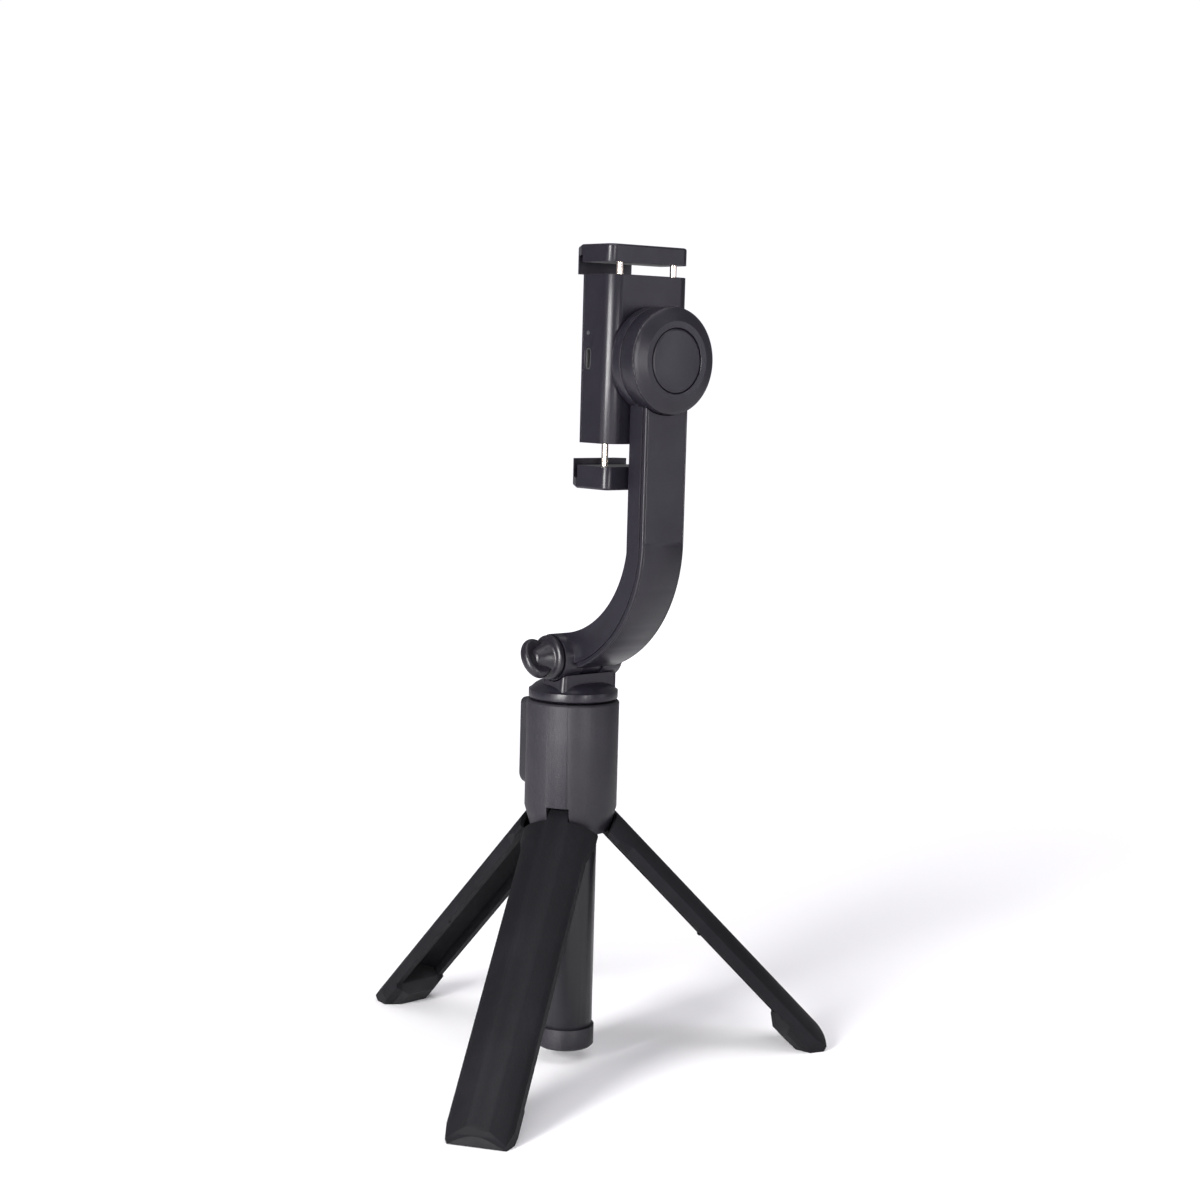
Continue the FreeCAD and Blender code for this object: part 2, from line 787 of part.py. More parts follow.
def make_swivel_base():
    """Domed base with the hinge block, the cradle of the barrel and the middle tongue."""
    dome = new_body("dome")
    radius = S["dome_radius"]
    low = S["dome_bottom"]
    bore = POST_RADIUS + S["running_gap"]
    relief = pole_radius(POLE_COUNT - 1) + FIT
    profile = [
        (bore, low + 1.2),
        (relief, low + 1.2),
        (relief, low),
        (radius - 0.5, low),
        (radius, low + 0.5),
        (radius, low + S["dome_rim"]),
        (radius - 0.9, low + S["dome_rim"] + 0.5, DOME_ARC),
        (radius - 6.6, low + S["dome_height"]),
        (bore, low + S["dome_height"]),
    ]
    revolve(dome, "Revolution", outline(dome, "XZ_Plane", profile), "V_Axis")
    half = S["barrel_half"] - 0.5
    depth = S["block_half_depth"]
    block = new_body("block")
    foot = low + 2.5
    corners = rectangle(-half, S["hinge_y"] - depth, half, S["hinge_y"] + depth)
    pad(block, outline(block, "XY_Plane", corners, foot), S["block_top"] - foot)
    round_edges(block, 2.0, along(Z_AXIS))
    counterbore = cylinder(SCREW_HEAD_RADIUS + 1.0 + FIT, 20, (0, 0, POST_TOP - S["running_gap"]))
    hole = cylinder(bore, 6, (0, 0, low + 1))
    air = [hinge_cylinder(S["barrel_radius"] + 0.45, S["barrel_half"] + 2), arm_underside_air()]
    base = cut(fuse([dome, block]), [hole, counterbore] + air)
    bolt = hinge_cylinder(S["bolt_radius"] + S["running_gap"], S["barrel_half"])
    subpart(cut(fuse([base, hinge_tongue()]), [bolt]), "swivel_base")


def hinge_cylinder(radius, half):
    """A cylinder on the tilt axis, centred on the arm."""
    half = as_size(half)
    return cylinder(radius, half * 2, (-half, S["hinge_y"], S["hinge_z"]), TO_X)


def arm_underside_air():
    """The round underside of the arm's bend with its air, over the hinge block."""
    reach = S["arm_bend_radius"] + 0.4
    centre_y = S["arm_back"] - S["arm_bend_radius"]
    half = S["barrel_half"] + 2
    return cylinder(reach, half * 2, (-half, centre_y, S["arm_bend_z"]), TO_X)


def hinge_tongue():
    """The round lug between the two cheeks of the arm, on a web from the block."""
    half = S["tongue_half"]
    lug = hinge_cylinder(S["barrel_radius"] - 0.6, half)
    web = S["hinge_y"] - S["block_half_depth"]
    low = (-half, web, S["dome_bottom"] + 4)
    stem = box(low, (half, S["hinge_y"] + S["block_half_depth"] - 2, S["hinge_z"] - 4))
    screw = cylinder(SCREW_HEAD_RADIUS + 1.3, 4.6, (0, 0, POST_TOP - 2))
    return cut(fuse([lug, stem]), [screw])


# --------------------------------------------------------------------------- tilt hinge
BOLT_HEAD = 2.0
CHEEK_INNER = S["tongue_half"] + S["washer_thickness"] + 0.1


def make_hinge_bolt():
    """The bolt on the tilt axis: domed head on one side, thread for the knob on the other."""
    head = S["barrel_half"] + BOLT_HEAD
    tip = S["barrel_half"] + 8
    radius = S["bolt_radius"]
    profile = [
        (-head, 0),
        (tip, 0),
        (tip, radius - 0.5),
        (tip - 0.5, radius),
        (-S["barrel_half"], radius),
        (-S["barrel_half"], radius * 2),
        (-head + 0.6, radius * 2),
        (-head, radius * 2 - 0.6),
    ]
    body = turned("hinge_bolt", "XY_Plane", "H_Axis", profile)
    subpart(place(body, 0, S["hinge_y"], S["hinge_z"]), "hinge_bolt")


def make_hinge_washers():
    """The two friction washers between the tongue and the arm's cheeks."""
    washers = []
    for side in (-1, 1):
        low = S["tongue_half"] + 0.05
        start = low if side > 0 else -low - S["washer_thickness"]
        outer = cylinder(S["barrel_radius"] - 1.6, S["washer_thickness"],
                         (start, S["hinge_y"], S["hinge_z"]), TO_X)
        inner = cylinder(S["bolt_radius"] + S["running_gap"], S["washer_thickness"] + 2,
                         (start - 1, S["hinge_y"], S["hinge_z"]), TO_X)
        washers.append(cut(outer, [inner]))
    subpart(group(washers), "hinge_washers")


def make_thumb_knob():
    """Clamping knob: a round collar, a neck and a flat oval paddle dished on both faces."""
    body = new_body("knob_core")
    low = S["barrel_half"] + FIT
    bore = S["bolt_radius"] + S["running_gap"]
    collar = S["knob_collar_radius"]
    tip = S["barrel_half"] + 8.5
    profile = [
        (low, bore),
        (low, collar - 0.5),
        (low + 0.5, collar),
        (low + 2.0, collar),
        (low + 2.6, collar - 0.8),
        (low + 2.6, 5.6),
        (low + 7.0, 4.6),
        (tip + 1, 3.0),
        (tip + 1, 0),
        (tip, 0),
        (tip, bore),
    ]
    revolve(body, "Revolution", outline(body, "XY_Plane", profile), "H_Axis")
    reach = S["paddle_half"]
    start = low + 2.0
    end = S["barrel_half"] + 13.2
    shape = [
        (start, -reach * 0.55),
        (start + 4, -reach, 7.5),
        (end, -reach * 0.30),
        (end, reach * 0.30, 7.5),
        (start + 4, reach),
        (start, reach * 0.55),
    ]
    paddle = new_body("paddle")
    pad(paddle, outline(paddle, "XZ_Plane", shape), S["paddle_thickness"], symmetric=True)
    dishes = []
    for side in (-1, 1):
        dish = doc.addObject("Part::Sphere", "dish")
        bind(dish, "Radius", 14)
        place(dish, (start + end) / 2 + 2.0, (S["paddle_thickness"] / 2 + 12.6) * side, 0)
        dishes.append(dish)
    bolt_room = cylinder(bore, 30, (tip - 30, 0, 0), TO_X)
    knob = cut(fuse([body, paddle]), dishes + [bolt_room])
    turn_about(knob, Vector(), X_AXIS, S["knob_turn"].value)
    pivot = Vector(0, S["hinge_y"].value, S["hinge_z"].value)
    knob.Placement = Placement(pivot, Rotation()).multiply(knob.Placement)
    subpart(knob, "thumb_knob")


# --------------------------------------------------------------------------- arm
ARM_CENTRE_Y = S["arm_back"] - S["arm_bend_radius"]
HOUSING_FRONT = S["clamp_back"] + 1.3
HOUSING_SPLIT = HOUSING_FRONT + 4.2
COVER_START = as_size(13.0)       # Y where the arm's cover strip begins


def round_point(radius, y):
    """Z of the underside of a circle about the bend's centre, at a given Y."""
    run = as_size(y) - ARM_CENTRE_Y
    return S["arm_bend_z"] - root(radius * radius - run * run)


def make_arm_shell():
    """Bent arm: hollow band, forked barrel at the foot and the motor's ring at the top."""
    outer = S["arm_bend_radius"] - S["arm_cover_thickness"]
    front = S["arm_back"] - S["arm_thickness"]
    top = S["motor_z"]
    foot_top = round_point(S["arm_bend_radius"], S["hinge_y"]) + S["arm_foot_thickness"]
    inner = front - ARM_CENTRE_Y - 4
    band = new_body("band")
    side = [
        (S["hinge_y"], round_point(outer, S["hinge_y"]), outer),
        (S["arm_back"] - S["arm_cover_thickness"], S["arm_bend_z"]),
        (S["arm_back"] - S["arm_cover_thickness"], top),
        (front, top),
        (front, S["arm_bend_z"] - 4, -inner),
        (S["hinge_y"] + 4, foot_top + 0.8),
        (S["hinge_y"], foot_top),
    ]
    pad(band, outline(band, "YZ_Plane", side), S["arm_half"] * 2, symmetric=True)
    wall = S["arm_wall"]
    hollow = new_body("hollow")
    room = [
        (S["hinge_y"] + 13, round_point(outer, S["hinge_y"] + 13) - 2, outer + 2),
        (S["arm_back"], S["arm_bend_z"]),
        (S["arm_back"], top - S["motor_radius"] - 2),
        (front + wall, top - S["motor_radius"] - 2),
        (front + wall, S["arm_bend_z"] - 4, -inner - wall),
        (S["hinge_y"] + 13, foot_top + 2.2 - wall),
    ]
    pad(hollow, outline(hollow, "YZ_Plane", room), (S["arm_half"] - wall) * 2, symmetric=True)
    barrel = hinge_cylinder(S["barrel_radius"], S["barrel_half"])
    housing = motor_disc(S["motor_radius"], HOUSING_FRONT, HOUSING_SPLIT)
    room_for_rotor = motor_disc(S["motor_radius"] - S["motor_wall"], HOUSING_FRONT - 1, HOUSING_SPLIT + 20)
    room_for_cover = motor_disc(S["motor_radius"], HOUSING_SPLIT, HOUSING_SPLIT + 20)
    slot_half = CHEEK_INNER
    slot_low = (-slot_half, S["hinge_y"] - 30, S["hinge_z"] - 30)
    lug_air = hinge_cylinder(S["barrel_radius"] + 0.2, slot_half)
    throat = box(slot_low, (slot_half, S["hinge_y"] + S["block_half_depth"], S["hinge_z"]))
    bolt = hinge_cylinder(S["bolt_radius"], S["barrel_half"] + 1)
    shell = cut(fuse([band, barrel, housing]), [hollow])
    tools = [room_for_rotor, room_for_cover, lug_air, throat, bolt]
    subpart(cut(shell, tools), "arm_shell")


def motor_disc(radius, low, high):
    """A cylinder on the roll axis between two Y values."""
    length = as_size(high) - low
    return cylinder(radius, length, (0, low, S["motor_z"]), TO_Y)


def make_arm_cover():
    """The strip that closes the back of the arm, from the hinge up to the motor."""
    outer = S["arm_bend_radius"]
    inner = outer - S["arm_cover_thickness"]
    body = new_body("strip")
    side = [
        (COVER_START, round_point(inner, COVER_START), inner),
        (S["arm_back"] - S["arm_cover_thickness"], S["arm_bend_z"]),
        (S["arm_back"] - S["arm_cover_thickness"], S["motor_z"]),
        (S["arm_back"], S["motor_z"]),
        (S["arm_back"], S["arm_bend_z"], -outer),
        (COVER_START, round_point(outer, COVER_START)),
    ]
    pad(body, outline(body, "YZ_Plane", side), S["arm_half"] * 2, symmetric=True)
    housing = motor_disc(S["motor_radius"], HOUSING_SPLIT - 20, HOUSING_SPLIT + 20)
    subpart(cut(body, [housing, hinge_cylinder(S["barrel_radius"], S["barrel_half"])]), "arm_cover")


# --------------------------------------------------------------------------- roll motor
def motor_turned(name, points):
    """A piece turned about the roll axis: points are (radius, Y)."""
    body = turned(name, "XY_Plane", "V_Axis", points)
    return place(body, 0, 0, S["motor_z"])


def make_motor_cover():
    """Round cup behind the motor with a chamfered rim and a seat for the cap disc."""
    radius = S["motor_radius"]
    back = S["motor_back"]
    wall = S["motor_wall"]
    chamfer = back - S["motor_rim"]
    seat = S["cap_disc_radius"]
    profile = [
        (radius - wall, HOUSING_SPLIT),
        (radius, HOUSING_SPLIT),
        (radius, back - chamfer),
        (radius - 0.3, back - chamfer + 0.5),
        (radius - 5, back),
        (seat + 0.35, back),
        (seat + 0.35, back - 1.0),
        (5, back - 1.0),
        (5, back - 1.0 - wall),
        (radius - wall, back - 1.0 - wall),
    ]
    subpart(motor_turned("motor_cover", profile), "motor_cover")


def make_motor_cap():
    """The flush round cap in the middle of the cover."""
    back = S["motor_back"]
    seat = S["cap_disc_radius"]
    profile = [
        (0, back - 2.0),
        (4.9, back - 2.0),
        (4.9, back - 1.0),
        (seat, back - 1.0),
        (seat, back - 0.35),
        (seat - 0.5, back - 0.1),
        (0, back + 0.1),
    ]
    subpart(motor_turned("motor_cap", profile), "motor_cap")


def make_rotor():
    """Rotor bell, fixed in the arm's housing, with its shaft and the ring of magnets."""
    inside = S["motor_back"] - 1.0 - S["motor_wall"]
    outer = S["motor_radius"] - S["motor_wall"]
    rim = outer - 1.2
    low = HOUSING_FRONT + 0.4
    plate = inside - 1.4
    bell = [
        (S["shaft_radius"], plate),
        (rim, plate),
        (rim, low),
        (outer, low),
        (outer, inside),
        (S["shaft_radius"], inside),
    ]
    subpart(motor_turned("rotor_bell", bell), "rotor_bell")
    shaft = [
        (0, S["clamp_back"] + 0.3),
        (S["shaft_radius"] - 0.3, S["clamp_back"] + 0.3),
        (S["shaft_radius"], S["clamp_back"] + 0.6),
        (S["shaft_radius"], inside),
        (0, inside),
    ]
    subpart(motor_turned("motor_shaft", shaft), "motor_shaft")
    count = 14
    magnets = []
    face = S["stator_radius"] + S["rotor_gap"]
    ring_part = cut(motor_disc(rim, low + 0.8, low + 0.8 + S["stator_length"] + 1.0),
                    [motor_disc(face, low, low + 12)])
    for step in range(count):
        gap = doc.addObject("Part::Box", "magnet_gap")
        bind(gap, "Length", 0.6)
        bind(gap, "Width", 20)
        bind(gap, "Height", 30)
        gap.Placement = Placement(Vector(-0.3, HOUSING_FRONT.value, 0), Rotation())
        turn_about(gap, Vector(), Y_AXIS, 360.0 * step / count)
        gap.Placement = Placement(Vector(0, 0, S["motor_z"].value), Rotation()).multiply(gap.Placement)
        magnets.append(gap)
    subpart(cut(ring_part, magnets), "rotor_magnets")


def make_stator():
    """What stays with the clamp: base plinth and post, bearings, laminated core and coils."""
    plinth = [
        (S["bearing_radius"], S["clamp_back"]),
        (S["motor_radius"] - 0.6, S["clamp_back"]),
        (S["motor_radius"] - 1.1, S["clamp_back"] + 0.8),
        (S["bearing_radius"] + 1, S["clamp_back"] + 0.8),
        (S["bearing_radius"] + 1, bearing_end()),
        (S["bearing_radius"], bearing_end()),
    ]
    subpart(motor_turned("motor_base", plinth), "motor_base")
    bearings = []
    for low in (S["clamp_back"] + 0.4, bearing_end() - S["bearing_width"] - 0.2):
        solid = cut(motor_disc(S["bearing_radius"], low, low + S["bearing_width"]),
                    [motor_disc(S["shaft_radius"] + S["running_gap"], low - 1, low + 6)])
        bearings.append(solid)
    subpart(group(bearings), "motor_bearings")
    low = HOUSING_FRONT + 1.4
    high = low + S["stator_length"]
    hub = motor_disc(S["bearing_radius"] + 3.2, low, high)
    inside = motor_disc(S["stator_radius"] - 1.2, low - 1, high + 1)
    shoe = cut(motor_disc(S["stator_radius"], low, high), [inside])
    poles = [hub, shoe]
    slots = [motor_disc(S["bearing_radius"] + 1, low - 1, high + 1)]
    coils = []
    count = 12
    for step in range(count):
        angle = 360.0 * step / count
        poles.append(spoke(1.1, 5.0, S["stator_radius"] - 0.6, low, high, angle))
        slot_outer = S["stator_radius"] + 2
        slots.append(spoke(0.8, S["stator_radius"] - 2, slot_outer, low - 1, high + 1, angle + 15))
        winding = spoke(2.3, 7.4, 11.4, low - 0.6, high + 0.6, angle)
        coils.append(cut(winding, [spoke(1.1, 6.0, 13.0, low, high, angle)]))
    subpart(cut(fuse(poles), slots), "stator_core")
    subpart(group(coils), "stator_coils")


def bearing_end():
    """Y of the post's far end, short of the rotor bell."""
    return S["motor_back"] - 1.0 - S["motor_wall"] - 1.4 - 0.5


def spoke(width, inner, outer, low, high, angle):
    """A radial bar on the roll axis, from one radius to another."""
    bar = doc.addObject("Part::Box", "spoke")
    low = as_size(low)
    bind(bar, "Length", width)
    bind(bar, "Width", as_size(high) - low)
    bind(bar, "Height", as_size(outer) - inner)
    bar.Placement = Placement(Vector(-width / 2, low.value, as_size(inner).value), Rotation())
    turn_about(bar, Vector(), Y_AXIS, angle)
    bar.Placement = Placement(Vector(0, 0, S["motor_z"].value), Rotation()).multiply(bar.Placement)
    return bar


# --------------------------------------------------------------------------- clamp body
SPLIT = S["clamp_front"] + S["clamp_plate"]
CLAMP_LOW = S["motor_z"] - S["clamp_height"] / 2
CLAMP_HIGH = S["motor_z"] + S["clamp_height"] / 2
BOARD_FRONT = SPLIT + 0.4
BOARD_BACK = BOARD_FRONT + 0.8
PORT_Y = BOARD_BACK + 1.3
PORT_HALF = 3.75
BOSS_RADIUS = 1.6
SCREW_RADIUS = 0.8
BUTTON_RADIUS = 2.0


def make_clamp_rear():
    """Deep rear shell with the rod holes, the socket's mouth and the button's hole."""
    body = new_body("rear_form")
    half = S["clamp_half"]
    plan = rectangle(-half, SPLIT, half, S["clamp_back"])
    pad(body, outline(body, "XY_Plane", plan, CLAMP_LOW), S["clamp_height"])
    upright = along(Z_AXIS)
    back = S["clamp_back"].value - 1
    round_edges(body, S["clamp_round"], lambda edge, middle: upright(edge, middle) and middle.y > back)
    wall = S["clamp_wall"]
    room = rectangle(-half + wall, SPLIT - 1, half - wall, S["clamp_back"] - S["back_wall"])
    inside = new_body("inside")
    pad(inside, outline(inside, "XY_Plane", room, CLAMP_LOW + wall), S["clamp_height"] - wall * 2)
    floor = back - S["back_wall"].value
    inner_round = S["clamp_round"] - wall
    round_edges(inside, inner_round, lambda edge, middle: upright(edge, middle) and middle.y > floor)
    hollow = cut(body, [inside])
    bosses = [cylinder(BOSS_RADIUS, 4, (x, SPLIT, z), TO_Y) for x, z in screw_places()]
    tools = rod_bores()
    tools.append(rounded_slot(S["clamp_half"] - 4, S["clamp_half"] + 1, 1.5, PORT_HALF + 0.25))
    tools.append(cylinder(BUTTON_RADIUS + 0.15, 4, (-half - 1, PORT_Y, S["motor_z"]), TO_X))
    tools.append(motor_disc(S["bearing_radius"] - 0.5, S["clamp_back"] - 3, S["clamp_back"] + 1))
    tools += [cylinder(SCREW_RADIUS, 6, (x, SPLIT - 1, z), TO_Y) for x, z in screw_places()]
    tools.append(cylinder(0.8, 3, (half - 2, PORT_Y, S["motor_z"] + 9), TO_X))
    subpart(cut(fuse([hollow] + bosses), tools), "clamp_rear")


def screw_places():
    """X and Z of the four screws that join the clamp's shells."""
    x = S["clamp_half"] - S["clamp_wall"] - BOSS_RADIUS + 0.5
    low = CLAMP_LOW + S["clamp_wall"] + BOSS_RADIUS - 0.5
    high = CLAMP_HIGH - S["clamp_wall"] - BOSS_RADIUS + 0.5
    return [(sign * x, z) for sign in (-1, 1) for z in (low, high)]


def rounded_slot(start, end, half_y, half_z):
    """A slot along X through the +X wall at the socket, with round ends."""
    length = as_size(end) - start
    flat = half_z - half_y
    middle = box((start, PORT_Y - half_y, S["motor_z"] - flat), (end, PORT_Y + half_y, S["motor_z"] + flat))
    ends = [cylinder(half_y, length, (start, PORT_Y, S["motor_z"] + flat * sign), TO_X) for sign in (-1, 1)]
    return fuse([middle] + ends)


def rod_bores():
    """The guide holes of the four rods in the top and bottom walls."""
    radius = S["rod_radius"] + S["running_gap"]
    bores = []
    for sign in (-1, 1):
        x = S["rod_x"] * sign
        bores.append(cylinder(radius, 6, (x, S["upper_rod_y"], CLAMP_HIGH - 4)))
        bores.append(cylinder(radius, 6, (x, S["lower_rod_y"], CLAMP_LOW - 2)))
    return bores


def make_clamp_front():
    """Front plate of the clamp with a shallow seat for the soft pad."""
    body = new_body("front_plate")
    half = S["clamp_half"]
    plan = rectangle(-half, S["clamp_front"], half, SPLIT)
    pad(body, outline(body, "XY_Plane", plan, CLAMP_LOW), S["clamp_height"])
    front = S["clamp_front"].value + 0.2
    round_edges(body, 0.6, lambda edge, middle: middle.y < front and edge.Length > 10, "Chamfer")
    heads = [cylinder(1.5, 0.8, (x, S["clamp_front"] - 0.01, z), TO_Y) for x, z in screw_places()]
    holes = [cylinder(SCREW_RADIUS, 4, (x, S["clamp_front"] - 1, z), TO_Y) for x, z in screw_places()]
    subpart(cut(body, heads + holes), "clamp_front")


def make_clamp_screws():
    """The four screws that join the clamp's shells."""
    screws = []
    for x, z in screw_places():
        head = cylinder(1.5, 0.79, (x, S["clamp_front"], z), TO_Y)
        shank = cylinder(SCREW_RADIUS, 4.6, (x, S["clamp_front"] + 0.5, z), TO_Y)
        screws.append(fuse([head, shank]))
    subpart(group(screws), "clamp_screws")


def make_clamp_pad():
    """Soft pad that the phone's back rests on."""
    body = new_body("clamp_pad")
    half = S["clamp_half"] - 2.6
    low = CLAMP_LOW + 3
    plan = rectangle(-half, low, half, CLAMP_HIGH - 3)
    front = S["clamp_front"]
    pad(body, outline(body, "XZ_Plane", plan, -front), S["pad_thickness"], reverse=False)
    round_edges(body, 3.0, along(Y_AXIS))
    subpart(body, "clamp_pad")


def make_electronics():
    """Battery, main board with its parts, charging socket, mode button and status light."""
    half_x = S["rod_x"] - S["spring_radius"] - S["spring_wire"] - 0.9
    low = CLAMP_LOW + S["clamp_wall"] + 1.2
    high = CLAMP_HIGH - S["clamp_wall"] - 1.2
    battery = new_body("battery")
    plan = rectangle(-half_x, BOARD_BACK + 3.0, half_x, S["clamp_back"] - S["back_wall"] - 1.0)
    pad(battery, outline(battery, "XY_Plane", plan, low), high - low)
    round_edges(battery, 1.5, along(Z_AXIS))
    subpart(battery, "battery")
    reach = S["clamp_half"] - S["clamp_wall"] - 0.4
    board_low = S["motor_z"] - 24
    edge = -reach + 1.4                 # clear of the mode button's travel
    board = box((edge, BOARD_FRONT, board_low), (reach, BOARD_BACK, S["motor_z"] + 24))
    chips = [
        box((-5, BOARD_BACK, S["motor_z"] + 4), (1, BOARD_BACK + 1, S["motor_z"] + 10)),
        box((-6, BOARD_BACK, S["motor_z"] - 14), (-2, BOARD_BACK + 0.9, S["motor_z"] - 10)),
        box((3, BOARD_BACK, S["motor_z"] - 12), (6, BOARD_BACK + 0.9, S["motor_z"] - 9)),
        box((edge, BOARD_BACK, S["motor_z"] - 2.5), (edge + 2, BOARD_BACK + 2.4, S["motor_z"] + 2.5)),
    ]
    corner = [cylinder(BOSS_RADIUS + 0.4, 4, (x, BOARD_FRONT - 1, z), TO_Y) for x, z in screw_places()]
    subpart(cut(fuse([board] + chips), corner), "main_board")
    socket = rounded_slot(S["clamp_half"] - 6.2, S["clamp_half"] - 0.3, 1.28, PORT_HALF)
    mouth = rounded_slot(S["clamp_half"] - 5.4, S["clamp_half"] + 1, 0.95, PORT_HALF - 0.35)
    start = S["clamp_half"] - 5.8
    tip = (S["clamp_half"] - 1.6, PORT_Y + 0.3, S["motor_z"] + 2.4)
    tongue = box((start, PORT_Y - 0.3, S["motor_z"] - 2.4), tip)
    subpart(fuse([cut(socket, [mouth]), tongue]), "usb_socket")
    light = cylinder(0.8, 1.9, (S["clamp_half"] - 1.9, PORT_Y, S["motor_z"] + 9), TO_X)
    subpart(light, "status_light")
    press = [
        (-S["clamp_half"] - 0.5, 0),
        (-S["clamp_half"] + S["clamp_wall"] + 0.9, 0),
        (-S["clamp_half"] + S["clamp_wall"] + 0.9, BUTTON_RADIUS + 0.35),
        (-S["clamp_half"] + S["clamp_wall"] + 0.2, BUTTON_RADIUS + 0.35),
        (-S["clamp_half"] + S["clamp_wall"] + 0.2, BUTTON_RADIUS),
        (-S["clamp_half"] - 0.2, BUTTON_RADIUS),
        (-S["clamp_half"] - 0.5, BUTTON_RADIUS - 0.3),
    ]
    button = turned("mode_button", "XY_Plane", "H_Axis", press)
    subpart(place(button, 0, PORT_Y, S["motor_z"]), "mode_button")


# --------------------------------------------------------------------------- jaws
ROD_SEAT = 4.0
ROD_INSIDE = 40.0                 # rod inside the body at rest
COLLAR_RADIUS = 2.0
COLLAR_HEIGHT = 1.0
SPRING_TURNS = 8
POINTS_PER_TURN = 12


class Jaw:
    """Where one jaw lies: side is +1 for the upper jaw and -1 for the lower one."""

    def __init__(self, name, side, gap, rod_y):
        self.name = name
        self.side = side
        self.gap = as_size(gap)
        self.rod_y = as_size(rod_y)

    def face(self):
        """Z of the clamp body's end that the jaw faces."""
        return CLAMP_HIGH if self.side > 0 else CLAMP_LOW

    def near(self):
        """Z of the jaw's bar on the body's side."""
        return self.face() + self.gap * self.side

    def phone(self):
        """Z of the phone's edge that the pad touches."""
        middle = S["motor_z"] - 2.9
        return middle + S["phone_width"] / 2 * self.side

    def far(self):
        """Z of the jaw's outer face."""
        return self.phone() + S["jaw_thickness"] * self.side


UPPER = Jaw("upper", 1, S["upper_gap"], S["upper_rod_y"])
LOWER = Jaw("lower", -1, S["lower_gap"], S["lower_rod_y"])


def make_jaw(jaw):
    """Jaw with a rod bar at the back and a hook that narrows over the phone's edge."""
    half = S["clamp_half"]
    nose = S["jaw_nose_half"]
    front = S["jaw_front"]
    plan = [
        (-nose, front),
        (nose, front),
        (half, S["clamp_front"] - 1),
        (half, S["jaw_back"]),
        (-half, S["jaw_back"]),
        (-half, S["clamp_front"] - 1),
    ]
    lip = jaw.phone() - S["jaw_lip_drop"] * jaw.side
    bottom, top = in_order(lip, jaw.far())
    body = new_body(f"{jaw.name}_jaw_body")
    pad(body, outline(body, "XY_Plane", plan, bottom), top - bottom)
    back = S["jaw_back"].value - 0.1
    round_edges(body, 3.0, lambda edge, middle: along(Z_AXIS)(edge, middle) and middle.y > back)
    outer = jaw.far().value
    round_edges(body, 0.9, lambda edge, middle: abs(middle.z - outer) < 1e-6)
    pad_low, pad_high = in_order(lip - 5 * jaw.side, jaw.phone() + S["jaw_pad"] * jaw.side)
    seat = box((-30, S["phone_front"] - 0.4, pad_low), (30, S["clamp_front"] - 0.2, pad_high))
    bar_low, bar_high = in_order(lip - 20 * jaw.side, jaw.near())
    behind = box((-30, S["clamp_front"] - 0.3, bar_low), (30, S["jaw_back"] + 5, bar_high))
    seats = [jaw_rod(jaw, sign, S["rod_radius"]) for sign in (-1, 1)]
    subpart(cut(body, [seat, behind] + seats), f"{jaw.name}_jaw")


def in_order(first, second):
    """Two sizes, the smaller first."""
    return (first, second) if first.value < second.value else (second, first)


def jaw_rod(jaw, sign, radius):
    """One rod from its seat in the jaw to its end inside the clamp body."""
    inner = jaw.face() - ROD_INSIDE * jaw.side
    outer = jaw.near() + ROD_SEAT * jaw.side
    low, high = in_order(inner, outer)
    return cylinder(radius, high - low, (S["rod_x"] * sign, jaw.rod_y, low))


def make_rods(jaw):
    """Two steel rods with the collars that hold their springs."""
    rods = []
    for sign in (-1, 1):
        inner = jaw.face() - ROD_INSIDE * jaw.side
        low, high = in_order(inner, inner + COLLAR_HEIGHT * jaw.side)
        collar = cylinder(COLLAR_RADIUS, high - low, (S["rod_x"] * sign, jaw.rod_y, low))
        rods.append(fuse([jaw_rod(jaw, sign, S["rod_radius"]), collar]))
    subpart(group(rods), f"{jaw.name}_rods")


def coil_spring(radius, wire, height):
    """One coil of round wire about Z, from z = 0 up to a height."""
    count = SPRING_TURNS * POINTS_PER_TURN
    points = []
    for step in range(count + 1):
        angle = 2 * math.pi * step / POINTS_PER_TURN
        points.append(Vector(radius * math.cos(angle), radius * math.sin(angle), height * step / count))
    line = Part.BSplineCurve()
    line.interpolate(points)
    section = Part.makeCircle(wire, points[0], line.tangent(line.FirstParameter)[0])
    return Part.Wire(line.toShape()).makePipeShell([Part.Wire(section)], True, False)


def make_springs(jaw):
    """Two compression springs between the rods' collars and the clamp's end wall."""
    inner = jaw.face() - (ROD_INSIDE - COLLAR_HEIGHT) * jaw.side
    outer = jaw.face() - S["clamp_wall"] * jaw.side
    low, high = (size.value for size in in_order(inner, outer))
    margin = S["spring_wire"].value * 1.2
    coil = coil_spring(S["spring_radius"].value, S["spring_wire"].value, high - low - margin * 2)
    coils = []
    for sign in (-1, 1):
        copy = coil.copy()
        copy.translate(Vector(S["rod_x"].value * sign, jaw.rod_y.value, low + margin))
        coils.append(copy)
    springs = doc.addObject("Part::Feature", f"{jaw.name}_springs")
    springs.Shape = Part.makeCompound(coils)
    subpart(springs, f"{jaw.name}_springs")


def make_jaw_pad(jaw):
    """Rubber lining between the jaw's ceiling and the phone's edge."""
    body = new_body(f"{jaw.name}_pad")
    narrow = S["jaw_nose_half"] + 0.4
    wide = S["clamp_half"] - 1.5
    low, high = in_order(jaw.phone(), jaw.phone() + S["jaw_pad"] * jaw.side)
    plan = [
        (-narrow, S["phone_front"] - 0.4),
        (narrow, S["phone_front"] - 0.4),
        (wide, S["clamp_front"] - 1.2),
        (-wide, S["clamp_front"] - 1.2),
    ]
    pad(body, outline(body, "XY_Plane", plan, low), high - low)
    subpart(body, f"{jaw.name}_pad")


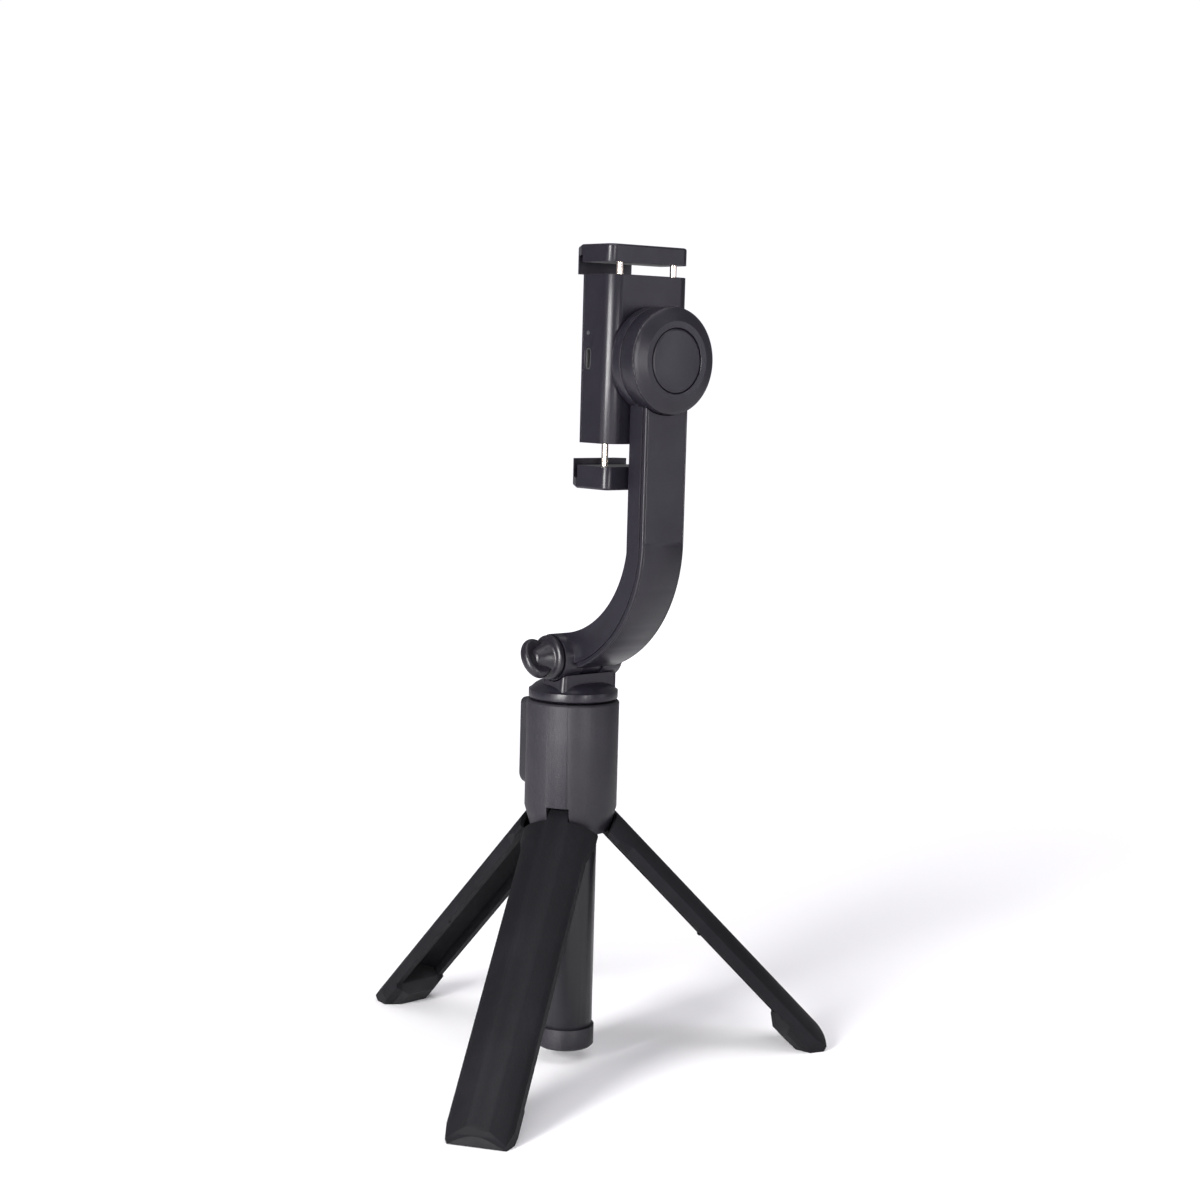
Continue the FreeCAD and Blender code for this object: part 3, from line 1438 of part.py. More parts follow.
# --------------------------------------------------------------------------- remote shutter
REMOTE_WALL = 1.2
REMOTE_PLATE = 1.2


def remote_outline(body, inset, start):
    """The remote's front view with round lower corners, made smaller by an inset."""
    half = S["remote_half"] - inset
    low = S["remote_bottom"] + inset
    high = S["remote_top"] - inset
    curve = 4.5 - inset
    points = [
        (-half + curve, low),
        (half - curve, low, curve),
        (half, low + curve),
        (half, high - curve / 2, curve / 2),
        (half - curve / 2, high),
        (-half + curve / 2, high, curve / 2),
        (-half, high - curve / 2),
        (-half, low + curve, curve),
    ]
    return outline(body, "XZ_Plane", points, start)


def make_remote():
    """The clip-in shutter remote: shell, back plate, sprung button, board and cell."""
    split = S["remote_back"] + REMOTE_PLATE
    shell = new_body("remote_front_form")
    pad(shell, remote_outline(shell, 0, split), S["remote_front"] - split)
    face = -S["remote_front"].value
    round_edges(shell, 1.3, lambda edge, middle: abs(middle.y - face) < 1e-6)
    room = new_body("remote_room")
    pad(room, remote_outline(room, REMOTE_WALL, split - 1), S["remote_front"] - split)
    bore = remote_disc(S["shutter_radius"] + 0.15, S["remote_front"] + 2, S["remote_back"])
    remote_piece(cut(shell, [room, bore]), "remote_shell")
    back = new_body("remote_back_plate")
    pad(back, remote_outline(back, 0, S["remote_back"]), REMOTE_PLATE)
    remote_piece(back, "remote_back")
    inside = S["remote_front"] - 1.0
    flange = remote_disc(S["shutter_radius"] + 0.7, inside - 0.1, inside - 0.7)
    cap = remote_disc(S["shutter_radius"], S["remote_front"] + 0.7, inside - 0.7)
    stem = remote_disc(1.2, inside - 0.5, inside - 1.1)
    remote_piece(fuse([cap, flange, stem]), "shutter_button")
    half = S["remote_half"] - REMOTE_WALL - FIT
    split_floor = split + 0.2
    corner = (half, -split_floor, S["remote_top"] - 2.2)
    board = box((-half, -split_floor - 1.0, S["remote_bottom"] + 16.4), corner)
    switch_top = inside - 2.1
    switch = box((-2, -switch_top, S["shutter_z"] - 2), (2, -split_floor - 0.8, S["shutter_z"] + 2))
    chip = box((-2, -split_floor - 1.8, S["shutter_z"] - 6.4), (2, -split_floor - 0.8, S["shutter_z"] - 3))
    remote_piece(fuse([board, switch, chip]), "remote_board")
    cell = cylinder(6.25, 2.0, (0, -split_floor - 2.0, S["remote_bottom"] + 9.6), TO_Y)
    remote_piece(cell, "coin_cell")


def remote_disc(radius, front, back):
    """A disc about the shutter's axis, between two distances in front of the handle's axis."""
    thickness = as_size(front) - back
    return cylinder(radius, thickness, (0, -as_size(front), S["shutter_z"]), TO_Y)


def remote_piece(thing, name):
    """Finish a piece of the remote, which sits in the turned handle."""
    subpart(turn_stand(thing), name)


# --------------------------------------------------------------------------- build and export
def build():
    """Make every sub-part."""
    make_handle_shell()
    make_handle_ring()
    make_leg_pins()
    make_centre_tube()
    make_end_cap()
    for index in range(POLE_COUNT):
        make_pole(index)
    for number, azimuth in enumerate(LEG_AZIMUTHS, start=1):
        make_leg(number, azimuth)
    make_swivel_plug()
    make_swivel_screw()
    make_swivel_base()
    make_hinge_bolt()
    make_hinge_washers()
    make_thumb_knob()
    make_arm_shell()
    make_arm_cover()
    make_motor_cover()
    make_motor_cap()
    make_rotor()
    make_stator()
    make_clamp_rear()
    make_clamp_front()
    make_clamp_screws()
    make_clamp_pad()
    make_electronics()
    for jaw in (UPPER, LOWER):
        make_jaw(jaw)
        make_jaw_pad(jaw)
        make_rods(jaw)
        make_springs(jaw)
    make_remote()


def check():
    """Stop if any object failed or any sub-part has no valid solid."""
    doc.recompute()
    for item in doc.Objects:
        if "Invalid" in item.State or "Error" in item.State:
            raise RuntimeError(f"{item.Name} ({item.Label}) failed")
    for item in SUBPARTS:
        if item.Shape.isNull() or not item.Shape.isValid() or not item.Shape.Solids:
            raise RuntimeError(f"{item.Label} has no valid solid")


def export():
    """Write each sub-part's shape to its own file."""
    os.makedirs("parts", exist_ok=True)
    for item in SUBPARTS:
        item.Shape.exportStep(f"parts/{item.Label}.step")


build()
check()
export()
print(len(SUBPARTS), "sub-parts")
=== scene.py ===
import json
import math

import bpy
import numpy as np
from mathutils import Matrix, Vector


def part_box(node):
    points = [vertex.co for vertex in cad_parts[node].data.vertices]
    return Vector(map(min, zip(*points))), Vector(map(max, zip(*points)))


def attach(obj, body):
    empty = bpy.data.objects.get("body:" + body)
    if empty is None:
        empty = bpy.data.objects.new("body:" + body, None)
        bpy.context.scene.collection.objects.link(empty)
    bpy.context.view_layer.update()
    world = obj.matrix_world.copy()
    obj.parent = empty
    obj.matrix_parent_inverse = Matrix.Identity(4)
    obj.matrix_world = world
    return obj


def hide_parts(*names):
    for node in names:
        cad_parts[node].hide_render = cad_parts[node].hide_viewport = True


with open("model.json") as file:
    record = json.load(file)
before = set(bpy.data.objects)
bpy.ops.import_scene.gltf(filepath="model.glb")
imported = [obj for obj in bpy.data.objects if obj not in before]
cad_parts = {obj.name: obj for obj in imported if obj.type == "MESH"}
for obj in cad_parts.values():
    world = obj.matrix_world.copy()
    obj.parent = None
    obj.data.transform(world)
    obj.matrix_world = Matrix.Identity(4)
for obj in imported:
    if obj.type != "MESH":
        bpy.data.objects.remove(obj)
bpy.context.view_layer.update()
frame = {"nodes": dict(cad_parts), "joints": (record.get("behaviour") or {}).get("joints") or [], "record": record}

MM = 0.001
COLUMNS = 96                      # steps once round a turned or swept piece


# --------------------------------------------------------------------------- places from the frame
def joint(name):
    """A joint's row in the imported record."""
    return next(row for row in frame["joints"] if row["name"] == name)


def turned_to(azimuth):
    """Unit vector on the ground, clockwise from +Y seen from above, in degrees."""
    angle = math.radians(azimuth)
    return np.array((math.sin(angle), math.cos(angle), 0.0))


HINGE = np.array(joint("arm_tilt")["pos_m"])


# --------------------------------------------------------------------------- camera
CAMERA_PLACE = (0.49932, 0.60572, 0.26175)
CAMERA_YAW = 40.16
CAMERA_PITCH = 6.33
CAMERA_ROLL = 1.53
SENSOR = 36.0
LENS = 63.95


def make_camera():
    """Camera out on the motor's and the knob's side, looking down a little and rolled a little."""
    yaw, pitch, roll = (math.radians(v) for v in (CAMERA_YAW, CAMERA_PITCH, CAMERA_ROLL))
    ahead = math.cos(pitch)
    forward = Vector((-math.sin(yaw) * ahead, -math.cos(yaw) * ahead, -math.sin(pitch)))
    level = forward.cross(Vector((0, 0, 1))).normalized()
    over = level.cross(forward)
    right = level * math.cos(roll) + over * math.sin(roll)
    up = over * math.cos(roll) - level * math.sin(roll)
    data = bpy.data.cameras.new("camera")
    data.sensor_width = SENSOR
    data.lens = LENS
    data.clip_start = 0.01
    camera = bpy.data.objects.new("camera", data)
    turn = Matrix((right, up, -forward)).transposed().to_4x4()
    camera.matrix_world = Matrix.Translation(CAMERA_PLACE) @ turn
    bpy.context.scene.collection.objects.link(camera)
    bpy.context.scene.camera = camera


# --------------------------------------------------------------------------- light and floor
AIM = (0, 0, 0.18)
LAMP_WHITE = (1.0, 0.985, 0.985)
ROOM_TINT = (0.97, 0.955, 1.0, 1)
ROOM_LIGHT = 0.24                 # strength of the room on the object
ROOM_SEEN = 0.82                  # what the camera sees of it on top of that


def area_light(name, azimuth, height, reach, size, power, colour):
    """A soft rectangular light round the object, aimed at its middle."""
    data = bpy.data.lights.new(name, "AREA")
    data.shape = "RECTANGLE"
    data.size, data.size_y = size
    data.energy = power
    data.color = colour
    light = bpy.data.objects.new(name, data)
    place = Vector(turned_to(azimuth) * reach) + Vector((0, 0, height))
    light.location = place
    light.rotation_euler = (Vector(AIM) - place).to_track_quat("-Z", "Y").to_euler()
    bpy.context.scene.collection.objects.link(light)


def make_lights():
    """A tall key and a thin strip beside the camera, a top light and a weak fill, in a white room.

    The room is seen white by the camera and lights the object at a quarter of that strength.
    """
    area_light("key", 74, 0.34, 1.20, (0.30, 0.90), 34, LAMP_WHITE)
    area_light("strip", 10, 0.30, 1.30, (0.14, 0.55), 6, LAMP_WHITE)
    area_light("top", 10, 1.25, 0.30, (1.3, 1.3), 11, (1.0, 0.98, 1.0))
    area_light("fill", 325, 0.50, 1.40, (0.4, 0.9), 3, (0.93, 0.90, 1.0))
    world = bpy.data.worlds.new("white_room")
    bpy.context.scene.world = world
    world.use_nodes = True
    nodes = Nodes(world.node_tree)
    background = world.node_tree.nodes["Background"]
    background.inputs["Color"].default_value = ROOM_TINT
    seen = nodes.add("ShaderNodeLightPath").outputs["Is Camera Ray"]
    strength = nodes.math("MULTIPLY_ADD", seen, ROOM_SEEN, ROOM_LIGHT)
    nodes.feed(strength, background.inputs["Strength"])
    bpy.context.scene.view_settings.view_transform = "Standard"


FLOOR_REACH = 9.0
FLOOR_RINGS = 24


def make_floor():
    """Flat round of pale paper: a point is r * (cos a, sin a, 0)."""
    ring = np.linspace(0, 2 * math.pi, COLUMNS + 1)[:-1]
    radius = np.linspace(0, 1, FLOOR_RINGS)[1:] * FLOOR_REACH
    angle, reach = np.meshgrid(ring, radius)
    rows = np.stack((reach * np.cos(angle), reach * np.sin(angle), reach * 0), axis=-1)
    floor = grid_mesh("floor", rows)
    floor.data.materials.append(paper())


# --------------------------------------------------------------------------- surfaces
def grid_mesh(name, points, cap_high=False):
    """Mesh of a grid of points [v, u] that closes round u, its first row shut by a fan.

    cap_high shuts the last row as well.
    """
    rows, columns, _ = points.shape
    index = np.arange(rows * columns).reshape(rows, columns)
    round_it = np.concatenate((index, index[:, :1]), axis=1)
    corners = (round_it[:-1, :-1], round_it[:-1, 1:], round_it[1:, 1:], round_it[1:, :-1])
    quads = np.stack(corners, axis=-1).reshape(-1, 4)
    vertices = points.reshape(-1, 3)
    faces = quads.tolist()
    for wanted, row, flip in ((True, 0, True), (cap_high, rows - 1, False)):
        if wanted:
            centre = len(vertices)
            vertices = np.vstack((vertices, points[row].mean(axis=0)))
            loop = index[row]
            after = np.roll(loop, -1)
            pairs = zip(after, loop) if flip else zip(loop, after)
            faces += [(int(a), int(b), centre) for a, b in pairs]
    mesh = bpy.data.meshes.new(name)
    mesh.from_pydata(vertices.tolist(), [], faces)
    mesh.update()
    mesh.shade_smooth()
    piece = bpy.data.objects.new(name, mesh)
    bpy.context.scene.collection.objects.link(piece)
    return piece


def outward(piece):
    """Make a closed mesh's faces point outwards: its signed volume has to be positive."""
    mesh = piece.data
    mesh.calc_loop_triangles()
    corners = np.empty(len(mesh.vertices) * 3)
    mesh.vertices.foreach_get("co", corners)
    corners = corners.reshape(-1, 3)
    triangles = np.empty(len(mesh.loop_triangles) * 3, dtype=np.int32)
    mesh.loop_triangles.foreach_get("vertices", triangles)
    a, b, c = (corners[triangles.reshape(-1, 3)[:, k]] for k in range(3))
    if np.einsum("ij,ij->i", a, np.cross(b, c)).sum() < 0:
        mesh.flip_normals()
    return piece


BEND_POINTS = 5
MOST_OF_SIDE = 0.45               # share of a side that one softened corner may take


def softened(profile, radius):
    """Profile points with each inner corner replaced by an arc-like curve.

    Each corner becomes a quadratic Bezier from a point one radius before it to one after it.
    """
    profile = np.asarray(profile, dtype=float)
    bends = [profile[:1]]
    share = np.linspace(0, 1, BEND_POINTS)[:, None]
    for before, corner, after in zip(profile[:-2], profile[1:-1], profile[2:]):
        back, ahead = before - corner, after - corner
        reach_back = min(radius, MOST_OF_SIDE * np.linalg.norm(back))
        reach_ahead = min(radius, MOST_OF_SIDE * np.linalg.norm(ahead))
        start = corner + back / np.linalg.norm(back) * reach_back
        end = corner + ahead / np.linalg.norm(ahead) * reach_ahead
        bends.append((1 - share) ** 2 * start + 2 * share * (1 - share) * corner + share ** 2 * end)
    bends.append(profile[-1:])
    return np.vstack(bends)


def spun(name, profile, centre, axis, side):
    """Closed turned piece: profile (distance along the axis, radius) swept once round it.

    A point is centre + distance * axis + radius * (cos a * side + sin a * (axis x side)).
    """
    angle = np.linspace(0, 2 * math.pi, COLUMNS + 1)[:-1]
    profile = np.asarray(profile)
    other = np.cross(axis, side)
    round_it = np.cos(angle)[:, None] * side + np.sin(angle)[:, None] * other
    rows = centre + profile[:, 0, None, None] * axis + profile[:, 1, None, None] * round_it[None]
    return outward(grid_mesh(name, rows, cap_high=True))


# --------------------------------------------------------------------------- shader groups
class Nodes:
    """A short way to add and join shader nodes in one tree."""

    def __init__(self, tree):
        self.tree = tree

    def add(self, kind, **settings):
        node = self.tree.nodes.new(kind)
        for key, value in settings.items():
            if hasattr(node, key):
                setattr(node, key, value)
            else:
                self.feed(value, node.inputs[key.replace("_", " ").title()])
        return node

    def feed(self, value, socket):
        if isinstance(value, bpy.types.NodeSocket):
            self.tree.links.new(value, socket)
        else:
            socket.default_value = value

    def math(self, operation, *values):
        node = self.tree.nodes.new("ShaderNodeMath")
        node.operation = operation
        for socket, value in zip(node.inputs, values):
            self.feed(value, socket)
        return node.outputs[0]

    def spread(self, value, low, high, to_low, to_high):
        node = self.add("ShaderNodeMapRange", interpolation_type="SMOOTHSTEP")
        for socket, number in zip(node.inputs, (value, low, high, to_low, to_high)):
            self.feed(number, socket)
        return node.outputs["Result"]


def new_group(name, inputs, outputs):
    """An empty shader group with float inputs {name: default} and float outputs."""
    tree = bpy.data.node_groups.new(name, "ShaderNodeTree")
    for label, value in inputs.items():
        socket = tree.interface.new_socket(label, in_out="INPUT", socket_type="NodeSocketFloat")
        socket.default_value = value
    for label in outputs:
        tree.interface.new_socket(label, in_out="OUTPUT", socket_type="NodeSocketFloat")
    nodes = Nodes(tree)
    start = nodes.add("NodeGroupInput")
    end = nodes.add("NodeGroupOutput")
    return tree, nodes, start.outputs, end.inputs


def noise(nodes, vector, scale, detail=2.0, roughness=0.5):
    """Noise value at a scale in cells per metre."""
    node = nodes.add("ShaderNodeTexNoise")
    nodes.feed(vector, node.inputs["Vector"])
    nodes.feed(scale, node.inputs["Scale"])
    node.inputs["Detail"].default_value = detail
    node.inputs["Roughness"].default_value = roughness
    return node.outputs["Fac"]


def build_grain():
    """Moulded grain: small rounded cells with finer noise on them.  Height 0..1, and a 0..1 mask of the hollows
    between cells that plastic() darkens as painted shade.
    """
    tree, nodes, given, out = new_group("moulded_grain", {"Cells": 2500.0, "Fine": 0.35}, ("Height", "Pit_shade"))
    where = nodes.add("ShaderNodeTexCoord").outputs["Object"]
    cells = nodes.add("ShaderNodeTexVoronoi", feature="SMOOTH_F1")
    nodes.feed(where, cells.inputs["Vector"])
    nodes.feed(given["Cells"], cells.inputs["Scale"])
    cells.inputs["Smoothness"].default_value = 0.6
    fine = noise(nodes, where, nodes.math("MULTIPLY", given["Cells"], 2.4), detail=3.0)
    bumps = nodes.math("SUBTRACT", 1.0, cells.outputs["Distance"])
    nodes.feed(nodes.math("MULTIPLY_ADD", fine, given["Fine"], bumps), out["Height"])
    nodes.feed(nodes.spread(cells.outputs["Distance"], 0.45, 0.85, 0.0, 1.0), out["Pit_shade"])
    return tree


def build_handling():
    """Handling: broad soft patches and short thin rubs, for roughness and colour.  Mask 0..1."""
    tree, nodes, given, out = new_group("handling", {"Patch": 45.0, "Rubs": 0.5}, ("Mask",))
    where = nodes.add("ShaderNodeTexCoord").outputs["Object"]
    clouds = noise(nodes, where, given["Patch"], detail=4.0, roughness=0.6)
    patches = nodes.spread(clouds, 0.38, 0.68, 0.0, 1.0)
    stretch = nodes.add("ShaderNodeMapping")
    nodes.feed(where, stretch.inputs["Vector"])
    stretch.inputs["Scale"].default_value = (1.0, 1.0, 0.12)
    lines = noise(nodes, stretch.outputs["Vector"], 900.0, detail=2.0)
    rubs = nodes.math("MULTIPLY", nodes.spread(lines, 0.62, 0.72, 0.0, 1.0), given["Rubs"])
    nodes.feed(nodes.math("MULTIPLY_ADD", patches, 0.7, nodes.math("MULTIPLY", rubs, 0.3)), out["Mask"])
    return tree


def build_dust():
    """Dust: specks that settle on what faces up.  Mask 0..1."""
    tree, nodes, given, out = new_group("dust", {"Specks": 700.0, "Amount": 0.3}, ("Mask",))
    where = nodes.add("ShaderNodeTexCoord").outputs["Object"]
    facing = nodes.add("ShaderNodeSeparateXYZ")
    nodes.feed(nodes.add("ShaderNodeNewGeometry").outputs["Normal"], facing.inputs[0])
    up = nodes.spread(facing.outputs["Z"], 0.1, 0.9, 0.25, 1.0)
    specks = nodes.spread(noise(nodes, where, given["Specks"], detail=1.0), 0.66, 0.74, 0.0, 1.0)
    haze = nodes.math("MULTIPLY", noise(nodes, where, 60.0, detail=3.0), 0.25)
    both = nodes.math("MULTIPLY", nodes.math("ADD", specks, haze), up)
    nodes.feed(nodes.math("MULTIPLY", both, given["Amount"]), out["Mask"])
    return tree


def build_drawn():
    """Drawing or turning lines: noise stretched along the metal's own direction.  Height 0..1."""
    inputs = {"Lines": 4000.0, "Along X": 1.0, "Along Y": 1.0, "Along Z": 0.02}
    tree, nodes, given, out = new_group("drawn_lines", inputs, ("Height",))
    where = nodes.add("ShaderNodeTexCoord").outputs["Object"]
    pull = nodes.add("ShaderNodeCombineXYZ")
    for socket, label in zip(pull.inputs, ("Along X", "Along Y", "Along Z")):
        nodes.feed(given[label], socket)
    stretched = nodes.add("ShaderNodeVectorMath", operation="MULTIPLY")
    nodes.feed(where, stretched.inputs[0])
    nodes.feed(pull.outputs[0], stretched.inputs[1])
    nodes.feed(noise(nodes, stretched.outputs[0], given["Lines"], detail=3.0), out["Height"])
    return tree


GRAIN = build_grain()
HANDLING = build_handling()
DUST = build_dust()
DRAWN = build_drawn()


# --------------------------------------------------------------------------- materials
def use_group(nodes, tree, **values):
    """Place a group in a material with its own input values."""
    node = nodes.add("ShaderNodeGroup", node_tree=tree)
    for label, value in values.items():
        node.inputs[label.replace("_", " ")].default_value = value
    return node.outputs


def blend_colours(nodes, mask, first, second):
    """first where the mask is 0 and second where it is 1."""
    mix = nodes.add("ShaderNodeMix", data_type="RGBA")
    nodes.feed(mask, mix.inputs["Factor"])
    for label, colour in (("A", first), ("B", second)):
        socket = next(s for s in mix.inputs if s.name == label and s.type == "RGBA")
        nodes.feed(colour if isinstance(colour, bpy.types.NodeSocket) else (*colour, 1.0), socket)
    return next(s for s in mix.outputs if s.type == "RGBA")


def new_material(name):
    """A material with an empty tree but for its Principled shader."""
    material = bpy.data.materials.new(name)
    material.use_nodes = True
    return material, Nodes(material.node_tree), material.node_tree.nodes["Principled BSDF"].inputs


def bump(nodes, height, depth):
    """Normal from a height field whose unit is depth metres."""
    node = nodes.add("ShaderNodeBump")
    node.inputs["Strength"].default_value = 1.0
    node.inputs["Distance"].default_value = depth
    nodes.feed(height, node.inputs["Height"])
    return node.outputs["Normal"]


WORN_GAIN = 1.35                  # how much lighter handled plastic is
WORN_LIFT = 0.002
# painted shade: how dark the hollows between grain cells are painted
PAINTED_PIT_SHADE = 0.55
DUST_COLOUR = (0.30, 0.29, 0.29)


def plastic(name, colour, rough, cells, depth, polish, dust=0.03, rubs=0.5, specular=0.35):
    """Moulded black plastic: grain with painted shade in its hollows, handling marks that change the gloss, and a
    little dust.
    """
    material, nodes, shader = new_material(name)
    grain = use_group(nodes, GRAIN, Cells=cells)
    hand = use_group(nodes, HANDLING, Rubs=rubs)
    specks = use_group(nodes, DUST, Amount=dust)
    colour = np.array(colour)
    worn = blend_colours(nodes, hand["Mask"], colour, colour * WORN_GAIN + WORN_LIFT)
    # painted shade: the hollows between grain cells are darkened in the colour
    pit_shade_mask = nodes.math("MULTIPLY", grain["Pit_shade"], 0.5)
    pit_shaded = blend_colours(nodes, pit_shade_mask, worn, colour * PAINTED_PIT_SHADE)
    nodes.feed(blend_colours(nodes, specks["Mask"], pit_shaded, DUST_COLOUR), shader["Base Color"])
    gloss = nodes.math("MULTIPLY_ADD", hand["Mask"], -polish, rough)
    nodes.feed(nodes.math("MULTIPLY_ADD", specks["Mask"], 0.3, gloss), shader["Roughness"])
    nodes.feed(bump(nodes, grain["Height"], depth), shader["Normal"])
    shader["Specular IOR Level"].default_value = specular
    return material


SEAM_ACROSS = (math.sqrt(0.5), -math.sqrt(0.5), 0.0)      # across the handle's moulding seam
SEAM_HALF = 0.16 * MM
SEAM_DEPTH = 0.8                  # in grain depths, like RIM_DEPTH
RIM_DEPTH = 14.0
RIM_MIDDLE = 8.85 * MM            # from the arm's middle to the groove inside the cover's rim
RIM_HALF = 0.22 * MM
LINE_SHADE = 0.35                 # how dark a sunk line is beside its surroundings


def distance_across(nodes, direction):
    """Signed distance from the plane through the origin across a direction."""
    across = nodes.add("ShaderNodeVectorMath", operation="DOT_PRODUCT")
    nodes.feed(nodes.add("ShaderNodeTexCoord").outputs["Object"], across.inputs[0])
    across.inputs[1].default_value = direction
    return across.outputs["Value"]


def cut_line(material, nodes, land, painted_side_shade, grain_share, depth):
    """Scale a plastic's colour by a painted light-and-shade factor, darken it where land is 0, scale its grain,
    and sink the line in its surface.
    """
    shader = material.node_tree.nodes["Principled BSDF"].inputs
    dark = nodes.add("ShaderNodeVectorMath", operation="SCALE")
    nodes.feed(shader["Base Color"].links[0].from_socket, dark.inputs[0])
    sunk_shade = nodes.math("MULTIPLY_ADD", land, 1 - LINE_SHADE, LINE_SHADE)
    nodes.feed(nodes.math("MULTIPLY", painted_side_shade, sunk_shade), dark.inputs["Scale"])
    nodes.feed(dark.outputs[0], shader["Base Color"])
    sunk = next(node for node in material.node_tree.nodes if node.bl_idname == "ShaderNodeBump")
    height = nodes.math("MULTIPLY", sunk.inputs["Height"].links[0].from_socket, grain_share)
    nodes.feed(nodes.math("MULTIPLY_ADD", land, depth, height), sunk.inputs["Height"])


def seamed_grip(*finish):
    """The handle's plastic: coarse grain on one side of a fine upright seam, finer beyond it, with painted light
    on the coarse side and painted shade beyond the seam.
    """
    material = plastic(*finish)
    nodes = Nodes(material.node_tree)
    shader = material.node_tree.nodes["Principled BSDF"].inputs
    offset = distance_across(nodes, SEAM_ACROSS)
    coarse = nodes.spread(offset, -SEAM_HALF, SEAM_HALF, 0.0, 1.0)
    land = nodes.spread(nodes.math("ABSOLUTE", offset), 0.0, SEAM_HALF, 0.0, 1.0)
    # painted light and shade: the coarse side's colour is lifted and the fine side's darkened
    painted_side_shade = nodes.math("MULTIPLY_ADD", coarse, 0.35, 0.80)
    grain_share = nodes.math("MULTIPLY_ADD", coarse, 0.75, 0.25)
    cut_line(material, nodes, land, painted_side_shade, grain_share, SEAM_DEPTH)
    gloss = shader["Roughness"].links[0].from_socket
    nodes.feed(nodes.math("MULTIPLY_ADD", coarse, 0.08, gloss), shader["Roughness"])
    return material


def rimmed_cover(*finish):
    """The arm cover's plastic, with a groove that leaves a thin rim along each edge."""
    material = plastic(*finish)
    nodes = Nodes(material.node_tree)
    aside = nodes.math("ABSOLUTE", distance_across(nodes, (1.0, 0.0, 0.0)))
    offset = nodes.math("SUBTRACT", aside, RIM_MIDDLE)
    land = nodes.spread(nodes.math("ABSOLUTE", offset), RIM_HALF * 0.3, RIM_HALF, 0.0, 1.0)
    cut_line(material, nodes, land, 1.0, 1.0, RIM_DEPTH)
    return material


def rubber(name, colour, rough=0.78):
    """Soft moulded rubber: fine grain, dull, with chalky handling patches."""
    material, nodes, shader = new_material(name)
    grain = use_group(nodes, GRAIN, Cells=5200.0, Fine=0.6)
    hand = use_group(nodes, HANDLING, Patch=120.0, Rubs=0.2)
    colour = np.array(colour)
    nodes.feed(blend_colours(nodes, hand["Mask"], colour, colour * 1.6 + 0.004), shader["Base Color"])
    nodes.feed(nodes.math("MULTIPLY_ADD", hand["Mask"], 0.1, rough), shader["Roughness"])
    nodes.feed(bump(nodes, grain["Height"], 0.00003), shader["Normal"])
    shader["Specular IOR Level"].default_value = 0.25
    return material


def metal(name, colour, rough, along=(1.0, 1.0, 0.02), lines=4000.0, depth=0.000004, tarnish=0.25):
    """Drawn or turned metal: lines along its own direction and faint tarnish."""
    material, nodes, shader = new_material(name)
    drawn = use_group(nodes, DRAWN, Lines=lines, Along_X=along[0], Along_Y=along[1], Along_Z=along[2])
    hand = use_group(nodes, HANDLING, Patch=220.0, Rubs=0.8)
    colour = np.array(colour)
    mask = nodes.math("MULTIPLY", hand["Mask"], tarnish)
    nodes.feed(blend_colours(nodes, mask, colour, colour * (0.62, 0.55, 0.46)), shader["Base Color"])
    nodes.feed(nodes.math("MULTIPLY_ADD", drawn["Height"], 0.12, rough), shader["Roughness"])
    nodes.feed(bump(nodes, drawn["Height"], depth), shader["Normal"])
    shader["Metallic"].default_value = 1.0
    return material


GLOW = (0.05, 1.3, 0.03, 0.85)    # metres from and to, and the glow at each


def paper():
    """Pale studio paper with a faint fibre, kept white to the eye far from the lamps."""
    material, nodes, shader = new_material("studio_paper")
    where = nodes.add("ShaderNodeTexCoord").outputs["Object"]
    fibre = noise(nodes, where, 600.0, detail=4.0)
    tone = nodes.spread(noise(nodes, where, 3.0, detail=2.0), 0.3, 0.7, 0.0, 1.0)
    nodes.feed(blend_colours(nodes, tone, (0.93, 0.932, 0.945), (0.95, 0.952, 0.962)), shader["Base Color"])
    nodes.feed(bump(nodes, fibre, 0.00002), shader["Normal"])
    shader["Roughness"].default_value = 0.7
    away = nodes.add("ShaderNodeVectorMath", operation="LENGTH")
    nodes.feed(where, away.inputs[0])
    glow = nodes.spread(away.outputs["Value"], *GLOW)
    seen = nodes.add("ShaderNodeLightPath").outputs["Is Camera Ray"]
    shader["Emission Color"].default_value = ROOM_TINT
    nodes.feed(nodes.math("MULTIPLY", glow, seen), shader["Emission Strength"])
    return material


